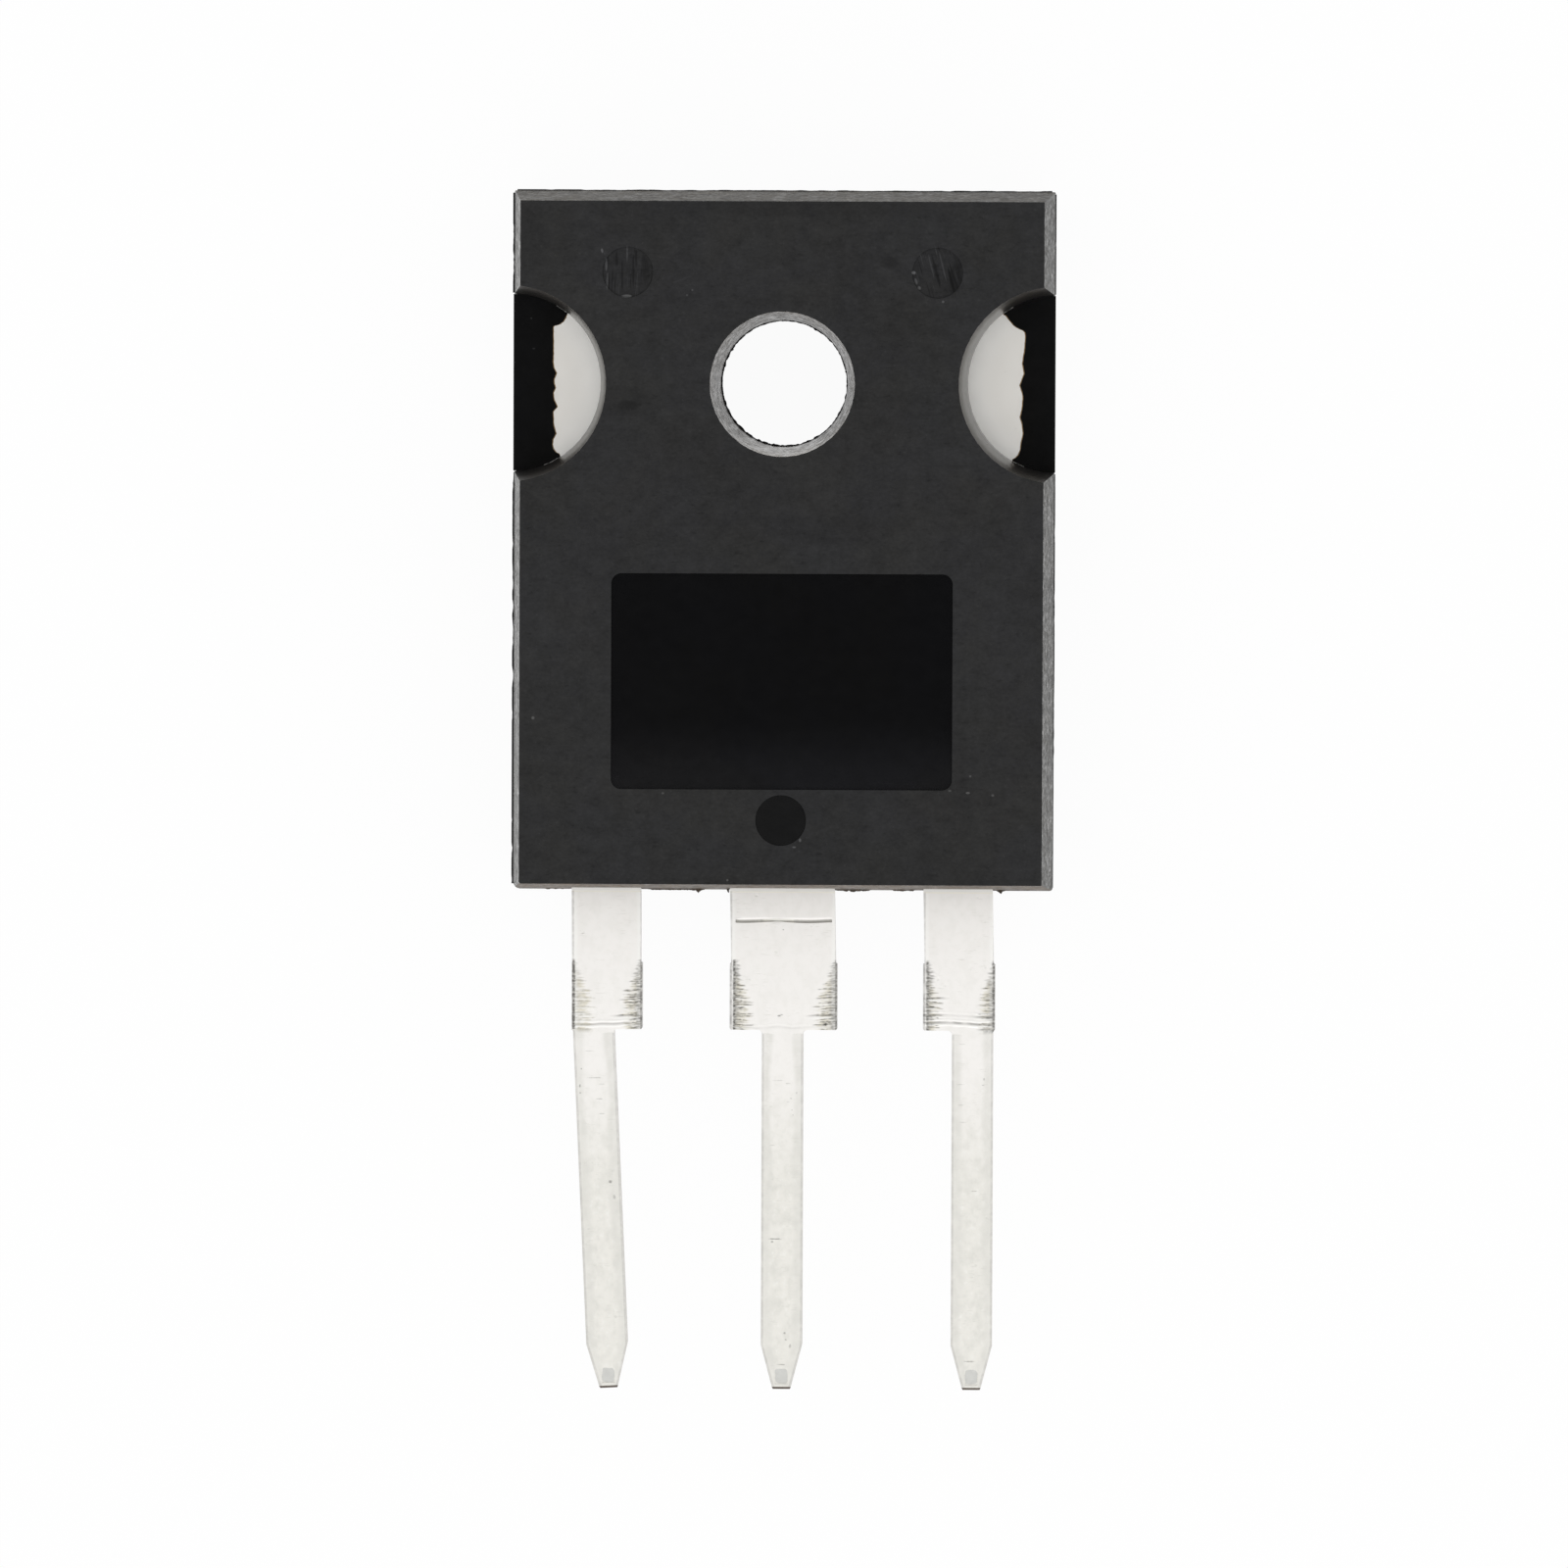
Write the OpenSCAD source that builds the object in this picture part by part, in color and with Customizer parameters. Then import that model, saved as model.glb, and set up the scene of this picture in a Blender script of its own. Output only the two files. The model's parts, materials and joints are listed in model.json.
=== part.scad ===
// Power transistor in a flat three-lead through-hole package, screw-mounted through the body.
// Origin: on the axis of the mounting hole, in the plane of the back.
// +X to the right, +Y away from the leads, +Z out of the front face. Millimetres.

/* [Body] */
// Width of the body at its parting line
body_w = 15.75; // [15.5:0.05:17]
// Length of the body from the lead end to the hole end
body_l = 20.3; // [20:0.1:22]
// Thickness of the body from back to front
body_t = 5; // [4.6:0.1:5.6]
// Draft of the front half on its two long sides, in degrees
side_draft = 7.5; // [3:0.5:9]
// Draft of the front half at its two ends, in degrees
end_draft = 6.7; // [3:0.1:9]
// Draft of the back half all round, in degrees
back_draft = 5; // [2:0.5:7]

/* [Mounting hole] */
// Bore of the mounting hole
hole_d = 3.6; // [3.2:0.05:3.9]
// Width of the hole's mouth at the front face
hole_mouth_d = 4.18; // [4:0.02:4.8]
// Distance from the hole's axis to the hole end of the body
hole_to_end = 5.6; // [5.4:0.1:6.2]

/* [Side notches] */
// Radius of each notch at its floor
notch_floor_r = 2.53; // [2.2:0.01:2.7]
// Radius of each notch at the front face
notch_front_r = 2.83; // [2.75:0.01:3]
// How far the notch's centre lies outside the body's edge
notch_out = 0.03; // [0:0.01:0.2]

/* [Marks on the front] */
// Width of the sunk marking panel
panel_w = 9.74; // [8:0.02:12]
// Length of the panel along the body
panel_l = 6.15; // [5:0.05:7]
// Distance from the hole's axis to the panel's middle
panel_from_hole = 8.59; // [8:0.01:9]
// Corner radius of the panel
panel_r = 0.3; // [0.1:0.05:1]
// Depth of the panel
panel_depth = 0.05; // [0.02:0.01:0.1]
// Radius of the round mark between the panel and the leads
dot_r = 0.73; // [0.4:0.01:0.8]
// Distance from the lead end of the body to the middle of the round mark
dot_from_end = 2.13; // [1.4:0.01:2.3]
// Radius of the two ejector-pin marks
ejector_r = 0.73; // [0.4:0.01:0.8]
// Distance of each ejector mark from the body's middle line
ejector_x = 4.46; // [4:0.02:5]
// Distance of the ejector marks from the hole end of the body
ejector_from_end = 2.39; // [1.8:0.01:2.5]
// Depth of the round marks
mark_depth = 0.04; // [0.02:0.01:0.1]

/* [Tab] */
// Thickness of the heat-spreading tab
tab_t = 2; // [1.8:0.05:2.1]
// Plastic beside the tab on each long side
tab_side_margin = 0.885; // [0.7:0.005:1.3]
// Plastic beyond the tab at the hole end
tab_top_margin = 1.2; // [1:0.05:1.3]
// Plastic beyond the tab at the lead end
tab_end_margin = 2.7; // [2.6:0.05:3]
// Hole in the tab round the screw, lined with plastic
tab_hole_d = 7.2; // [6.4:0.1:7.4]
// Corner radius of the tab
tab_corner_r = 0.4; // [0.2:0.05:0.8]
// Radius of the round bite in each long edge of the tab
bite_r = 0.38; // [0.2:0.01:0.5]
// Distance of the bites from the hole's axis
bite_y = 2.03; // [1.9:0.01:2.2]
// Depth of the grooves in the tab that lock the moulding
lock_depth = 0.2; // [0.1:0.05:0.3]

/* [Leads] */
// Spacing of the three leads
lead_pitch = 5.45; // [5.2:0.01:5.6]
// Height of the leads' underside, and of the parting line, above the back
lead_z = 2.4; // [2.3:0.05:2.6]
// Thickness of the leads
lead_t = 0.6; // [0.5:0.02:0.7]
// Width of a lead below its shoulder
lead_w = 1.2; // [1:0.05:1.4]
// Length of the leads beyond the body
lead_l = 14.5; // [12:0.1:20.5]
// Length of the wide part of each lead beyond the body
shoulder_l = 4.04; // [3.6:0.02:4.5]
// Width of the centre lead above its shoulder
centre_wide_w = 3.04; // [2.8:0.02:3.3]
// How far an outer lead widens towards the centre lead
outer_wide_in = 0.76; // [0.4:0.02:0.9]
// How far an outer lead widens on its other side
outer_wide_out = 0.05; // [0:0.01:0.2]
// Distance from the body to the cut stubs of the dam bar
dambar_from_body = 2.1; // [1.8:0.05:2.4]
// How far the cut stubs stand out of the lead's edge
dambar_proud = 0.04; // [0.01:0.01:0.1]
// Radius in the corner below each shoulder
shoulder_r = 0.12; // [0.05:0.01:0.3]
// Length of the tapered end of each lead
taper_l = 1.3; // [0.8:0.1:2]
// Width of a lead at its tip
tip_w = 0.57; // [0.3:0.01:0.8]
// Length of the bevel on the front and back of each tip
tip_bevel_l = 0.12; // [0.05:0.01:0.4]
// Depth of that bevel
tip_bevel_t = 0.12; // [0.05:0.01:0.2]
// Width of the small pressed flat on the front of each tip
tip_flat_w = 0.32; // [0.15:0.01:0.4]
// Length of that flat
tip_flat_l = 0.46; // [0.2:0.01:0.8]
// Depth of the flat at its end next to the tip
tip_flat_t = 0.03; // [0.01:0.01:0.06]
// Sideways bend of the gate lead below its shoulder, in degrees
gate_lean = 2.6; // [0:0.1:4]
// Distance from the body to the pressed line across the centre lead
line_from_body = 0.87; // [0.5:0.01:1.5]
// Plain edge left at each end of that line
line_margin = 0.12; // [0.05:0.01:0.4]
// Width of the pressed line
line_w = 0.1; // [0.05:0.01:0.2]
// Depth of the pressed line
line_depth = 0.05; // [0.02:0.01:0.1]

/* [Inside] */
// Inside radius of the two bends that set the tab below the leads
downset_r = 0.3; // [0.1:0.05:0.4]
// Angle of those bends
downset_angle = 45; // [35:1:60]
// Flat length of the centre lead between the tab and its first bend
downset_flat = 0.3; // [0.1:0.05:0.4]
// Length of the wire-bonding posts along the body
post_l = 1.3; // [1:0.05:1.5]
// Gap between the tab's end and the posts
post_gap = 0.45; // [0.3:0.05:0.6]
// Gap between each post and the centre lead
post_side_gap = 0.8; // [0.5:0.05:1]
// Width of the silicon die
die_w = 5; // [4:0.1:6]
// Length of the die along the body
die_l = 6.4; // [5:0.1:6.8]
// Thickness of the die
die_t = 0.28; // [0.2:0.01:0.35]
// Distance from the tab's lead end to the die
die_from_tab_end = 1.2; // [0.9:0.05:1.3]
// Thickness of the solder under the die
solder_t = 0.06; // [0.03:0.01:0.1]
// How far the solder spreads past the die
solder_margin = 0.12; // [0.05:0.01:0.2]
// Diameter of the gate wire
gate_wire_d = 0.2; // [0.12:0.01:0.25]
// Distance of the gate wire's bond from the die's middle line
gate_bond_x = 1.7; // [1:0.1:1.8]
// Distance of the gate wire's bond from the die's lead end
gate_bond_y = 0.5; // [0.3:0.1:1]
// Distance of the gate wire's landing from its lead's middle line
gate_landing = 0.9; // [0.5:0.1:1.4]
// Diameter of the two source wires
source_wire_d = 0.38; // [0.25:0.01:0.4]
// Distance of the first source wire's bond from the die's middle line
source_bond_x = 0.6; // [0.4:0.1:0.8]
// Distance of the first source wire's bond from the die's lead end
source_bond_y = 3.2; // [3:0.1:4]
// Sideways step from the first source wire's bond to the second's
source_step_x = 1.1; // [0.9:0.1:1.2]
// Step along the body from the second source wire's bond to the first's
source_step_y = 1.6; // [1:0.1:2]
// Distance of the first source wire's landing from its lead's middle line
source_landing = 1.9; // [1.5:0.1:2.3]
// Distance between the landings of the two source wires
landing_step = 1.6; // [1.2:0.1:1.8]
// Height of the wire loops above the die
wire_loop = 1.1; // [0.7:0.05:1.2]

/* [Hidden] */
$fn = 96;

body_top_y = hole_to_end;
body_end_y = hole_to_end - body_l;
parting_z = lead_z;
notch_x = body_w / 2 + notch_out;
past = 1;

tab_w = body_w - 2 * tab_side_margin;
tab_top_y = body_top_y - tab_top_margin;
tab_end_y = body_end_y + tab_end_margin;

die_end_y = tab_end_y + die_from_tab_end;
die_top_z = tab_t + solder_t + die_t;
lead_top_z = lead_z + lead_t;

post_top_y = tab_end_y - post_gap;
post_end_y = post_top_y - post_l;
post_in_x = centre_wide_w / 2 + post_side_gap;
post_out_x = tab_w / 2;

// The centre lead runs down to the tab in two equal bends with a straight ramp between them
downset_mid_r = downset_r + lead_t / 2;
downset_drop = lead_z - (tab_t - lead_t);
ramp_l = (downset_drop - 2 * downset_mid_r * (1 - cos(downset_angle))) / sin(downset_angle);
downset_run = 2 * downset_mid_r * sin(downset_angle) + ramp_l * cos(downset_angle);

// Where the wires' landings lie along the body, and how a wire is drawn and pressed at its feet
landing_y = (post_top_y + post_end_y) / 2;
wire_sides = 12;
wire_steps = 14;
foot_squash = 0.6;
foot_spread = 1.25;
foot_l = 2.2;

// Overlap that fuses the centre lead with the tab, and the gap beside the tab's opening
strip_overlap = 0.15;
lock_gap = 0.1;

mould_colour = [0.2, 0.2, 0.205];
tin_colour = [0.86, 0.85, 0.82];
silicon_colour = [0.45, 0.47, 0.52];
solder_colour = [0.62, 0.62, 0.64];
wire_colour = [0.82, 0.83, 0.85];

function mix(a, b, u) = a + (b - a) * u;
function reversed(list) = [for (i = [len(list) - 1:-1:0]) list[i]];

// Half of a moulding's section: [distance from the middle, height], widest at the parting line
function drafted_edge(half, front_angle) = [
    [half - parting_z * tan(back_draft), 0],
    [half, parting_z],
    [half - (body_t - parting_z) * tan(front_angle), body_t]
];

// Body without its cuts: the two drafted sections, one along the body and one across it
module body_blank() {
    side = drafted_edge(body_w / 2, side_draft);
    end = drafted_edge(body_l / 2, end_draft);
    side_section = concat(side, [for (p = reversed(side)) [-p[0], p[1]]]);
    end_section = concat(end, [for (p = reversed(end)) [-p[0], p[1]]]);
    mid_y = (body_top_y + body_end_y) / 2;
    intersection() {
        translate([0, body_top_y + past, 0]) rotate([90, 0, 0])
            linear_extrude(body_l + 2 * past) polygon(side_section);
        translate([-body_w / 2 - past, mid_y, 0]) rotate([90, 0, 90])
            linear_extrude(body_w + 2 * past) polygon(end_section);
    }
}

// Screw hole: a true bore in the back half and a wider drafted mouth in the front half
module screw_hole() {
    translate([0, 0, -past]) cylinder(d = hole_d, h = body_t + 2 * past);
    translate([0, 0, parting_z])
        cylinder(d1 = hole_d, d2 = hole_mouth_d, h = body_t - parting_z);
    translate([0, 0, body_t]) cylinder(d = hole_mouth_d, h = past);
}

// One drafted half-round notch, down to the top of the tab
module side_notch() {
    translate([0, 0, tab_t])
        cylinder(r1 = notch_floor_r, r2 = notch_front_r, h = body_t - tab_t);
    translate([0, 0, body_t]) cylinder(r = notch_front_r, h = past);
}

module rounded_panel(w, l, r) {
    square([w - 2 * r, l], center = true);
    square([w, l - 2 * r], center = true);
    for (x = [-1, 1], y = [-1, 1])
        translate([x * (w / 2 - r), y * (l / 2 - r)]) circle(r);
}

// Sunk panel, round mark and ejector marks in the front face
module front_marks() {
    translate([0, -panel_from_hole, body_t - panel_depth])
        linear_extrude(panel_depth + past) rounded_panel(panel_w, panel_l, panel_r);
    translate([0, body_end_y + dot_from_end, body_t - mark_depth])
        cylinder(r = dot_r, h = mark_depth + past);
    for (side = [-1, 1])
        translate([side * ejector_x, body_top_y - ejector_from_end, body_t - mark_depth])
            cylinder(r = ejector_r, h = mark_depth + past);
}

// Outline of the tab with its screw opening and the bites in its long edges
module tab_plan() {
    difference() {
        translate([0, (tab_top_y + tab_end_y) / 2])
            rounded_panel(tab_w, tab_top_y - tab_end_y, tab_corner_r);
        circle(d = tab_hole_d);
        for (side = [-1, 1]) translate([side * tab_w / 2, bite_y]) circle(bite_r);
    }
}

// V-grooves across the front of the tab, on both sides of the die
module lock_grooves() {
    above = -tab_hole_d / 2 - lock_depth - lock_gap;
    below = tab_end_y + (die_from_tab_end - solder_margin) / 2;
    for (y = [above, below])
        translate([-tab_w / 2 - past, y, tab_t]) rotate([90, 0, 90])
            linear_extrude(tab_w + 2 * past)
                polygon([[-lock_depth, 0], [0, -lock_depth], [lock_depth, 0]]);
}

// Side view of the centre lead from the tab up to the lead plane, as [y, z] with y falling
function downset_centre() =
    let (r = downset_mid_r, a = downset_angle, n = 8,
         y0 = tab_end_y + strip_overlap, y1 = tab_end_y - downset_flat, z1 = tab_t - lead_t / 2,
         first = [for (i = [0:n]) let (t = a * i / n)
                  [y1 - r * sin(t), z1 + r * (1 - cos(t)), t]],
         y2 = y1 - downset_run, z2 = lead_z + lead_t / 2,
         second = [for (i = [n:-1:0]) let (t = a * i / n)
                   [y2 + r * sin(t), z2 - r * (1 - cos(t)), t]])
    concat([[y0, z1, 0]], first, second, [[body_end_y - past, z2, 0]]);

module downset_strip() {
    path = downset_centre();
    half = lead_t / 2;
    upper = [for (p = path) [p[0] + half * sin(p[2]), p[1] + half * cos(p[2])]];
    lower = [for (p = path) [p[0] - half * sin(p[2]), p[1] - half * cos(p[2])]];
    translate([-centre_wide_w / 2, 0, 0]) rotate([90, 0, 90])
        linear_extrude(centre_wide_w) polygon(concat(upper, reversed(lower)));
}

// Fillet that fills the corner at the origin towards +X and -Y
module corner_fillet(r) {
    difference() {
        translate([-r, -r]) square([2 * r, 2 * r]);
        translate([r, -r]) circle(r);
        translate([-r - past, -r - past]) square([r + past, r + past]);
        translate([r, -r - past]) square([past, 2 * r + 2 * past]);
    }
}

// One edge stub of the dam bar, on the side of the lead that faces +X
module dambar_stub(x) {
    stub_l = shoulder_l - dambar_from_body;
    polygon([[x - past, -dambar_from_body], [x, -dambar_from_body],
             [x + dambar_proud, -dambar_from_body - dambar_proud],
             [x + dambar_proud, -dambar_from_body - stub_l + dambar_proud],
             [x, -shoulder_l], [x - past, -shoulder_l]]);
}

// Wide part of a lead: x from -left to +right of the shaft's middle, y = 0 at the body
module lead_wide_plan(left, right, inside) {
    translate([-left, -shoulder_l]) square([left + right, shoulder_l + inside]);
    dambar_stub(right);
    mirror([1, 0]) dambar_stub(left);
}

// Narrow part of a lead from its shoulder to its tapered tip
module lead_shaft_plan(left, right) {
    taper_y = -lead_l + taper_l;
    translate([-lead_w / 2, taper_y]) square([lead_w, -shoulder_l + shoulder_r - taper_y]);
    polygon([[-lead_w / 2, taper_y], [-tip_w / 2, -lead_l], [tip_w / 2, -lead_l],
             [lead_w / 2, taper_y]]);
    fillet_right = min(shoulder_r, right - lead_w / 2);
    fillet_left = min(shoulder_r, left - lead_w / 2);
    if (fillet_right > 0.02) translate([lead_w / 2, -shoulder_l]) corner_fillet(fillet_right);
    if (fillet_left > 0.02)
        mirror([1, 0]) translate([lead_w / 2, -shoulder_l]) corner_fillet(fillet_left);
}

// Bevels on the front and back of a lead's tip
module tip_bevels() {
    for (flip = [0, 1])
        translate([0, -lead_l, lead_t / 2]) mirror([0, 0, flip]) translate([0, 0, lead_t / 2])
            translate([-lead_w, 0, 0]) rotate([90, 0, 90]) linear_extrude(2 * lead_w)
                polygon([[-past, -tip_bevel_t - past * tip_bevel_t / tip_bevel_l],
                         [tip_bevel_l, 0], [tip_bevel_l, past], [-past, past]]);
}

// Small sloping flat pressed into the front of a lead's tip
module tip_flat() {
    translate([-tip_flat_w / 2, -lead_l + tip_bevel_l + tip_flat_t, lead_t])
        rotate([90, 0, 90]) linear_extrude(tip_flat_w)
            polygon([[0, -tip_flat_t], [tip_flat_l, 0], [tip_flat_l, past], [0, past]]);
}

// A whole lead outside the body, bent sideways by lean degrees at its shoulder
module lead_outside(left, right, inside, lean) {
    linear_extrude(lead_t) lead_wide_plan(left, right, inside);
    translate([0, -shoulder_l, 0]) rotate([0, 0, lean]) translate([0, shoulder_l, 0])
        difference() {
            linear_extrude(lead_t) lead_shaft_plan(left, right);
            tip_bevels();
            tip_flat();
        }
}

// The outer lead on the +X side, with its bonding post inside the body
module outer_lead(lean) {
    left = lead_w / 2 + outer_wide_in;
    right = lead_w / 2 + outer_wide_out;
    translate([lead_pitch, body_end_y, lead_z])
        lead_outside(left, right, post_end_y - body_end_y, lean);
    translate([post_in_x, post_end_y, lead_z])
        cube([post_out_x - post_in_x, post_l, lead_t]);
}

// Pressed line across the front of the centre lead
module pressed_line() {
    line_l = centre_wide_w - 2 * line_margin;
    translate([-line_l / 2, body_end_y - line_from_body, lead_top_z]) rotate([90, 0, 90])
        linear_extrude(line_l)
            polygon([[-line_w / 2, 0], [0, -line_depth], [line_w / 2, 0], [0, past]]);
}

// Tab and centre lead, stamped from one strip of two thicknesses
module drain_tab_shape() {
    wide = centre_wide_w / 2;
    difference() {
        linear_extrude(tab_t) tab_plan();
        lock_grooves();
    }
    difference() {
        union() {
            intersection() {
                downset_strip();
                translate([-wide - past, body_end_y - past, 0])
                    cube([2 * wide + 2 * past, body_l, body_t]);
            }
            translate([0, body_end_y, lead_z]) lead_outside(wide, wide, 0, 0);
        }
        pressed_line();
    }
}

// Section of a wire round its middle: flat underneath, squashed where it is bonded
function wire_ring(centre, along, tilt, half_h, half_w) = [
    for (i = [0:wire_sides - 1])
        let (a = 360 * (i + 0.5) / wire_sides,
             side = half_w * cos(a) / cos(180 / wire_sides),
             up = half_h * sin(a) / cos(180 / wire_sides))
        centre + side * [along[1], -along[0], 0]
               + up * [-along[0] * sin(tilt), -along[1] * sin(tilt), cos(tilt)]
];

// Bond wire from start to end, both [x, y, z] on the surfaces that it is bonded to
module bond_wire(start, end, d) {
    run = norm([end[0] - start[0], end[1] - start[1]]);
    along = [end[0] - start[0], end[1] - start[1]] / run;
    foot = foot_l * d;
    free = run - 2 * foot;
    loop = start[2] + wire_loop - max(start[2], end[2]);
    height = function (u) mix(start[2], end[2], u) + loop * sin(180 * u);
    grow = function (u) min(1, foot_squash + (1 - foot_squash) * 4 * min(u, 1 - u));
    flat_h = d / 2 * foot_squash;
    flat_w = d / 2 * foot_spread;
    bond = function (s, z) wire_ring([start[0] + along[0] * s, start[1] + along[1] * s, z + flat_h],
                                     along, 0, flat_h, flat_w);
    rings = concat(
        [bond(0, start[2])],
        [for (i = [0:wire_steps])
            let (u = i / wire_steps, s = foot + free * u, half_h = d / 2 * grow(u),
                 half_w = mix(flat_w, d / 2, (grow(u) - foot_squash) / (1 - foot_squash)),
                 slope = (height(min(1, u + 0.02)) - height(max(0, u - 0.02)))
                         / ((min(1, u + 0.02) - max(0, u - 0.02)) * free),
                 tilt = atan(slope))
            wire_ring([start[0] + along[0] * s, start[1] + along[1] * s,
                       height(u) + half_h / (i == 0 || i == wire_steps ? 1 : cos(tilt))],
                      along, i == 0 || i == wire_steps ? 0 : tilt, half_h, half_w)],
        [bond(run, end[2])]);
    n = wire_sides;
    last = len(rings) - 1;
    points = [for (ring = rings) each ring];
    faces = concat(
        [[for (i = [n - 1:-1:0]) i]],
        [for (j = [0:last - 1], i = [0:n - 1]) let (k = (i + 1) % n)
            each [[j * n + i, (j + 1) * n + k, (j + 1) * n + i],
                  [j * n + i, j * n + k, (j + 1) * n + k]]],
        [[for (i = [0:n - 1]) last * n + i]]);
    polyhedron(points, faces);
}

function on_die(x, y) = [x, die_end_y + y, die_top_z];
function on_post(x) = [x, landing_y, lead_top_z];

module gate_wire() {
    color(wire_colour)
        bond_wire(on_die(-gate_bond_x, gate_bond_y), on_post(gate_landing - lead_pitch),
                  gate_wire_d);
}

module source_wire(i) {
    color(wire_colour)
        bond_wire(on_die(source_bond_x + i * source_step_x, source_bond_y - i * source_step_y),
                  on_post(lead_pitch - source_landing + i * landing_step), source_wire_d);
}

module die_solder() {
    w = die_w + 2 * solder_margin;
    l = die_l + 2 * solder_margin;
    color(solder_colour)
        translate([-w / 2, die_end_y - solder_margin, tab_t]) cube([w, l, solder_t]);
}

module silicon_die() {
    color(silicon_colour)
        translate([-die_w / 2, die_end_y, tab_t + solder_t]) cube([die_w, die_l, die_t]);
}

module drain_tab() {
    color(tin_colour) drain_tab_shape();
}

module gate_lead() {
    color(tin_colour) mirror([1, 0, 0]) outer_lead(-gate_lean);
}

module source_lead() {
    color(tin_colour) outer_lead(0);
}

// Moulding, closed on the lead frame, the die and the wires
module mould_body() {
    color(mould_colour) difference() {
        body_blank();
        screw_hole();
        for (side = [-1, 1]) translate([side * notch_x, 0, 0]) side_notch();
        front_marks();
        drain_tab_shape();
        gate_lead();
        source_lead();
        die_solder();
        silicon_die();
        gate_wire();
        for (i = [0, 1]) source_wire(i);
    }
}

mould_body();
drain_tab();
gate_lead();
source_lead();
silicon_die();
die_solder();
gate_wire();
source_wire(0);  // source_wire_1
source_wire(1);  // source_wire_2
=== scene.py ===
import json
import math

import bmesh
import bpy
from mathutils import Matrix, Vector


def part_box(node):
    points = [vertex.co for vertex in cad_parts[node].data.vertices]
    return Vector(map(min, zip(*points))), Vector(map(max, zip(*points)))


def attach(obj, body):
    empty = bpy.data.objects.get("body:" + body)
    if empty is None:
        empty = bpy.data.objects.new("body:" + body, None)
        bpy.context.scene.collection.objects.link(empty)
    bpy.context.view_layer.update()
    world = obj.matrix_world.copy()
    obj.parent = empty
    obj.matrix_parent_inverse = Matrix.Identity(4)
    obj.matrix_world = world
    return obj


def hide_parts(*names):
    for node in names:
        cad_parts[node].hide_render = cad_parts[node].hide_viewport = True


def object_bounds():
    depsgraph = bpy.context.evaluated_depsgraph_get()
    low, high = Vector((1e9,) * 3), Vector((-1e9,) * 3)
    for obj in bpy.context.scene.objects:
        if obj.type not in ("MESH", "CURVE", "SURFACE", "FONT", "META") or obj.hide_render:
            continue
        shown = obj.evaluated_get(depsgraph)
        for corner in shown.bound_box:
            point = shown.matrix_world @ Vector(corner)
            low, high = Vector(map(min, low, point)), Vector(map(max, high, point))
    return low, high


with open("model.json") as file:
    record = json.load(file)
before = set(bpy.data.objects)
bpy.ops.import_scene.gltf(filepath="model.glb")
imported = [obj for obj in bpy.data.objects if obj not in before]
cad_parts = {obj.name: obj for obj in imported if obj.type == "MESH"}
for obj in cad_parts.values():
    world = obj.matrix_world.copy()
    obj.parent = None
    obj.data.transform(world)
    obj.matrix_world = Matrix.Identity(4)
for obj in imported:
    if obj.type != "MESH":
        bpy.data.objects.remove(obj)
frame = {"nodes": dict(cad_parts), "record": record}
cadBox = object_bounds()
mm = 0.001

# What every piece is lined up with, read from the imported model
bodyLow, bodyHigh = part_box("mould_body")
leadLow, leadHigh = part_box("source_lead")
halfWidth = bodyHigh.x
holeEnd = bodyHigh.y
leadEnd = bodyLow.y
frontZ = bodyHigh.z
leadTop = leadHigh.z
partingZ = leadLow.z
tipY = leadLow.y
boreRadius = frame["record"]["mounts"][0]["dims"]["r_mm"] * mm


# Nodes

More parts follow.
